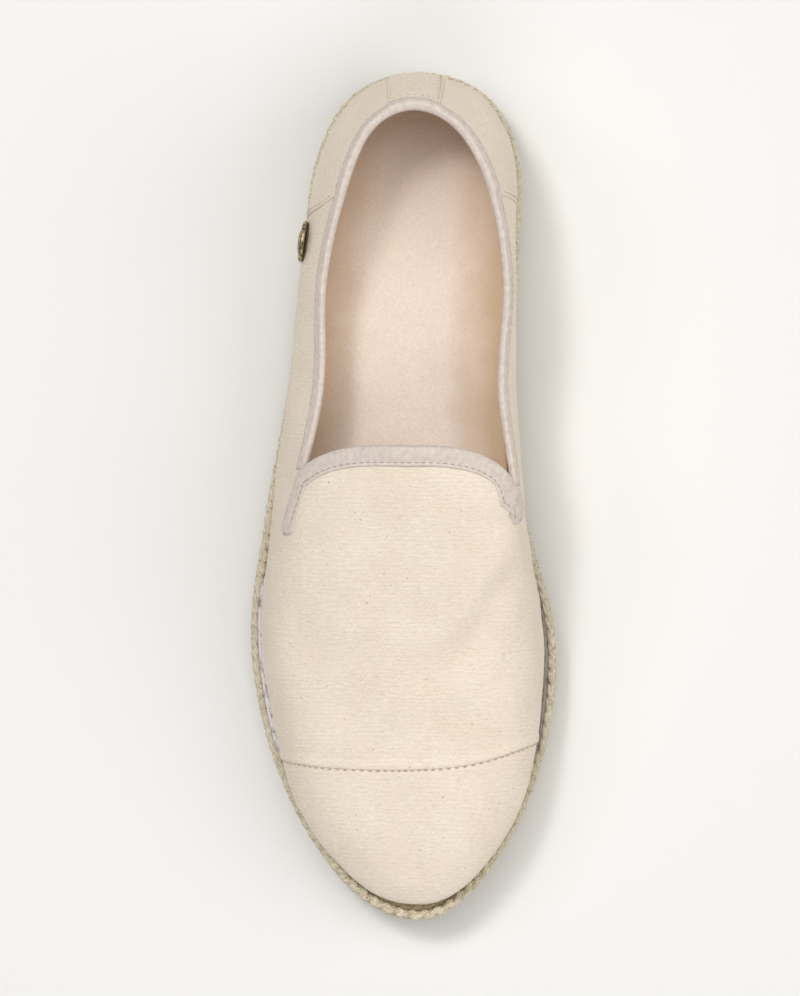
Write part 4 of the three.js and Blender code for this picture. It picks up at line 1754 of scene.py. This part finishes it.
@dataclass
class JuteSole:
    """Three rows of three-strand jute plait wound around a jute core."""

    last: Last
    plaits: int = 3
    strands: int = 3
    cycle: float = 12.0
    samples: int = 12
    sides: int = 8
    inset: float = 1.6
    weave_high: float = 0.2499
    weave_deep: float = 0.7
    strand_high: float = 0.2652
    strand_deep: float = 0.98
    fibre_run: float = 1.25
    fibre_girth: float = 1.15
    core_inset: float = 2.7
    core_columns: int = 240
    core_section: tuple[tuple[float, float], ...] = (
        (10.0, 0.02),
        (1.2, 0.02),
        (0, 0.1),
        (0, 0.5),
        (0, 0.84),
        (0.9, 0.9),
        (10.0, 0.9),
    )

    def levels(self, station: Grid) -> tuple[Grid, Grid]:
        """Returns the heights of the jute's underside and top."""
        low = self.last.underside(station) + self.last.rubber + self.last.gap
        return low, self.last.curves["top"](station)

    def around(self, share: Grid, inset: float) -> tuple[Grid, Grid]:
        """Finds places around the outline.

        Args:
            share: 0 to 1, forward along the medial edge and back along the lateral one.
            inset: Distance in from the edge.

        Returns:
            Stations, and x and y of the points.
        """
        fine = np.linspace(0, 2, 2401)
        station = np.where(fine <= 1, fine, 2 - fine)
        side = np.where(fine <= 1, 1.0, -1.0)
        flat = self.last.outline(station, side, inset)
        run = run_along(flat)
        marks = np.interp(share * run[-1], run, np.arange(len(fine)))
        return np.interp(marks, np.arange(len(fine)), station), along_rows(flat, marks)

    def length(self) -> float:
        """Returns the length of one turn of plait."""
        _, flat = self.around(np.linspace(0, 1, 1200), self.inset)
        return float(run_along(flat)[-1])

    def strand(self, name: str, row: int, phase: float) -> bpy.types.Object:
        """Builds one strand of one row as a closed tube.

        Args:
            name: Name of the strand.
            row: Number of the row, from the ground up.
            phase: Where in the plait's cycle the strand starts, from 0 to 1.

        Returns:
            The new tube.
        """
        length = self.length()
        cycles = round(length / self.cycle)
        count = cycles * self.samples
        t = np.arange(count) / count
        station, flat = self.around(t, self.inset)
        low, high = self.levels(station)
        height = (high - low) / self.plaits
        angle = 2 * math.pi * (cycles * t + phase)
        level = low + height * (row + 0.5 + self.weave_high * np.sin(angle))
        ahead = unit(np.roll(flat, -1, axis=0) - np.roll(flat, 1, axis=0))
        outward = np.column_stack([ahead[:, 1], -ahead[:, 0], np.zeros(count)])
        centre = np.column_stack([flat, level])
        centre += outward * (self.weave_deep * np.sin(2 * angle))[:, None]
        forward = unit(np.roll(centre, -1, axis=0) - np.roll(centre, 1, axis=0))
        upward = unit(np.cross(forward, outward))
        girth = 2 * math.pi * np.arange(self.sides + 1) / self.sides
        swell = 1 + 0.07 * np.sin(angle * 1.5 + row) + 0.04 * np.sin(17.3 * t * cycles)
        broad, deep = self.strand_high * height * swell, self.strand_deep * swell
        ring = (
            centre[:, None, :]
            + outward[:, None, :] * (np.cos(girth) * deep[:, None])[..., None]
            + upward[:, None, :] * (np.sin(girth) * broad[:, None])[..., None]
        )
        ring = np.concatenate([ring, ring[:1]])
        run = np.arange(count + 1) / count * length * self.fibre_run
        return wrapped_grid(name, ring, band_cloth(girth * self.fibre_girth, run))

    def plait(self, row: int) -> bpy.types.Object:
        """Builds one row of plait."""
        strands = [self.strand(f"strand_{row}_{k}", row, k / self.strands) for k in range(self.strands)]
        piece = joined(f"plait_{row + 1}", strands)
        dress(piece, Finish.JUTE)
        return piece

    def core(self) -> bpy.types.Object:
        """Builds the wound jute within the plaits."""
        share = np.arange(self.core_columns + 1) / self.core_columns % 1
        rings = []
        for inset, level in self.core_section:
            station, flat = self.around(share, self.core_inset + inset)
            low, high = self.levels(station)
            rings.append(np.column_stack([flat, low + (high - low) * level]))
        piece = wrapped_grid("jute_core", np.stack(rings, 1)[::-1], closed=True)
        dress(piece, Finish.SHADED_JUTE_CORE)
        return piece

    def build(self) -> Pieces:
        """Builds the core and the rows of plait, which stand for the CAD jute sole."""
        pieces = [self.core(), *(self.plait(row) for row in range(self.plaits))]
        return [deliver(piece, "jute_sole") for piece in pieces]


@dataclass
class Outsole:
    """The rubber sheet under the jute, which stays as it is in the frame."""

    node: str = "outsole"

    def build(self) -> Pieces:
        """Gives the sheet its finish."""
        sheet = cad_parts[self.node]
        sheet.data.materials.clear()
        sheet.data.materials.append(Finish.CREPE.material())
        return [sheet]


# ----------------------------------------------------------------------------------------- strips and rivet


@dataclass
class BallStrip:
    """A strip of metallic leather between vamp and jute on one side of the ball."""

    last: Last
    name: str
    side: int
    finish: Finish
    start: float = 148.0
    end: float = 202.5
    top: float = 0.875
    standoff: float = 0.62
    flare: float = 2.2
    thickness: float = 0.6
    rows: int = 69
    columns: int = 8

    def build(self) -> Pieces:
        """Builds the strip, which leans out over the jute and lies flat at both ends."""
        first, final = self.last.station_at(self.start), self.last.station_at(self.end)
        t = np.linspace(0, 1, self.rows + 1)[:, None]
        across = np.linspace(self.top, 1, self.columns + 1)
        across = across if self.side > 0 else -across[::-1]
        station, places = np.broadcast_arrays(first + (final - first) * t, across)
        lean = (np.abs(places) - self.top) / (1 - self.top)
        ends = np.sqrt(smoothstep(0, 0.07, t) * (1 - smoothstep(0.95, 1, t)))
        out = self.standoff + (self.flare - self.standoff) * lean**1.5 * ends
        points = self.last.offset(station, places, out)
        cloth = np.stack([lean, 100 * station], -1)
        piece = wrapped_grid(f"ball_strip_{self.name}", points, cloth)
        thicken(piece, self.thickness)
        dress(piece, self.finish)
        return [deliver(piece, f"strip_{self.name}")]


@dataclass
class Rivet:
    """A plain round metal rivet on the lateral quarter."""

    last: Last
    along: float = 49.5
    across: float = -0.70
    radius: float = 6.0
    thickness: float = 0.9
    standoff: float = 0.25
    bevel: float = 0.12
    rim: tuple[tuple[float, float], ...] = ((0.4, 0.3), (0.8, 0.15), (0.3, -0.35))
    dome_step: float = 0.75
    dome: tuple[float, ...] = (0.4, 0.3, 0.2, 0.1, 0.05)

    def head(self) -> bpy.types.Object:
        """Models the head from a cylinder: a raised rim, a groove and a low dome."""
        deselect()
        bpy.ops.mesh.primitive_cylinder_add(
            vertices=64,
            radius=self.radius * MM,
            depth=self.thickness * MM,
            location=(0, 0, self.thickness / 2 * MM),
        )
        piece = named(bpy.context.active_object, "rivet")
        settle(piece)
        choose_faces(piece.data, [face.normal.z > 0.9 for face in piece.data.polygons])
        for inset, rise in (*self.rim, *((self.dome_step, rise) for rise in self.dome)):
            bpy.ops.mesh.inset(thickness=inset * MM, depth=rise * MM)
        bpy.ops.object.mode_set(mode="OBJECT")
        bevel = piece.modifiers.new("edges", "BEVEL")
        bevel.width = self.bevel * MM
        bevel.segments = 2
        bevel.angle_limit = math.radians(40)
        bpy.ops.object.modifier_apply(modifier=bevel.name)
        bpy.ops.object.shade_smooth_by_angle(angle=math.radians(35))
        return piece

    def build(self) -> Pieces:
        """Sets the head on the quarter."""
        piece = self.head()
        station, across = self.last.station_at(self.along), np.array(self.across)
        at = self.last.offset(station, across, self.standoff)
        normal = self.last.normal(station, across)
        piece.matrix_world = place_matrix(at, np.array([0, 0, 1.0]), normal)
        settle(piece)
        dress(piece, Finish.BRONZE)
        return [deliver(piece, "badge")]


# ---------------------------------------------------------------------------------------------- the studio


@dataclass(frozen=True)
class SoftLight:
    """A square soft light that faces the shoe, with its place and size in metres and its power in watts."""

    name: str
    at: Triple
    size: float
    power: float
    tint: Triple = (1.0, 1.0, 1.0)
    aim: Triple = (0.0, 0.0, 0.03)

    def hang(self) -> None:
        """Hangs the light."""
        lamp = bpy.data.lights.new(self.name, "AREA")
        lamp.size = self.size
        lamp.energy = self.power
        lamp.color = self.tint
        holder = bpy.data.objects.new(self.name, lamp)
        holder.location = self.at
        holder.rotation_euler = (Vector(self.aim) - Vector(self.at)).to_track_quat("-Z", "Y").to_euler()
        bpy.context.scene.collection.objects.link(holder)


LIGHTS = (
    SoftLight("key", (-0.6, 0.78, 2.1), 0.4, 15.5),
    SoftLight("window", (-0.1, 0.75, 2.14), 1.2, 12.8),
    SoftLight("lateral", (-0.88, 0.35, 1.26), 0.5, 2.6, (0.97, 0.99, 1.05)),
    SoftLight("medial", (1.35, 0.0, 1.35), 1.6, 14.5, (1.01, 1.0, 0.98)),
    SoftLight("toeward", (0.08, -1.31, 1.64), 1.4, 10.5, (1.01, 1.0, 0.99)),
)


@dataclass
class Studio:
    """A plain pale floor, soft lights above and around the shoe and a camera high over it, in metres."""

    floor_size: float = 40.0
    world: float = 0.14
    camera_at: Triple = (0.0629, 0.0463, 1.7)
    camera_to: Triple = (0.0, -0.0003, 0.02)
    lens: float = 206.5
    sensor: float = 36.0

    def lay_floor(self) -> None:
        """Lays the floor."""
        deselect()
        bpy.ops.mesh.primitive_plane_add(size=self.floor_size)
        floor = named(bpy.context.active_object, "floor")
        floor.data.materials.append(Floor().material())

    def set_world(self) -> None:
        """Fills the room with a little white light."""
        world = bpy.data.worlds.new("studio")
        world.use_nodes = True
        background = world.node_tree.nodes["Background"]
        background.inputs["Color"].default_value = (1.0, 1.0, 1.0, 1.0)
        background.inputs["Strength"].default_value = self.world
        bpy.context.scene.world = world
        bpy.context.scene.view_settings.view_transform = "Standard"

    def set_camera(self) -> None:
        """Sets the camera, with the toe at the bottom of the picture."""
        lens = bpy.data.cameras.new("camera")
        lens.sensor_fit = "VERTICAL"
        lens.sensor_height = self.sensor
        lens.lens = self.lens
        camera = bpy.data.objects.new("camera", lens)
        camera.location = self.camera_at
        back = (Vector(self.camera_at) - Vector(self.camera_to)).normalized()
        right = Vector((0, 1, 0)).cross(back).normalized()
        turn = Matrix((right, back.cross(right), back)).transposed()
        camera.rotation_euler = turn.to_euler()
        bpy.context.scene.collection.objects.link(camera)
        bpy.context.scene.camera = camera

    def build(self) -> None:
        """Sets floor, lights, world and camera."""
        self.lay_floor()
        for light in LIGHTS:
            light.hang()
        self.set_world()
        self.set_camera()


def report(piece: bpy.types.Object) -> None:
    """Writes a piece's name and number of triangles to the log."""
    piece.data.calc_loop_triangles()
    LOG.info("%s: %d triangles", piece.name, len(piece.data.loop_triangles))


def main() -> None:
    """Builds the studio and the shoe, piece by piece."""
    logging.basicConfig(level=logging.INFO, format="%(name)s: %(message)s")
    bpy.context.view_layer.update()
    Studio().build()
    last = Last()
    upper, heel_stay = Upper(last), HeelStay(last)
    collar_tape, throat_tape = CollarTape(last, upper, heel_stay), ThroatTape(last)
    assemblies = (
        Outsole(),
        upper,
        heel_stay,
        collar_tape,
        throat_tape,
        Stitching(last, heel_stay, collar_tape, throat_tape),
        Insole(last),
        JuteSole(last),
        # the lateral strip takes the lit copy of the metallic leather and the medial strip the shaded copy:
        # painted light and painted shade
        BallStrip(last, "lateral", -1, Finish.LIT_METAL_LEATHER),
        BallStrip(last, "medial", 1, Finish.SHADED_METAL_LEATHER),
        Rivet(last),
    )
    for assembly in assemblies:
        for piece in assembly.build():
            report(piece)
    LOG.info("built")


if __name__ == "__main__":
    main()
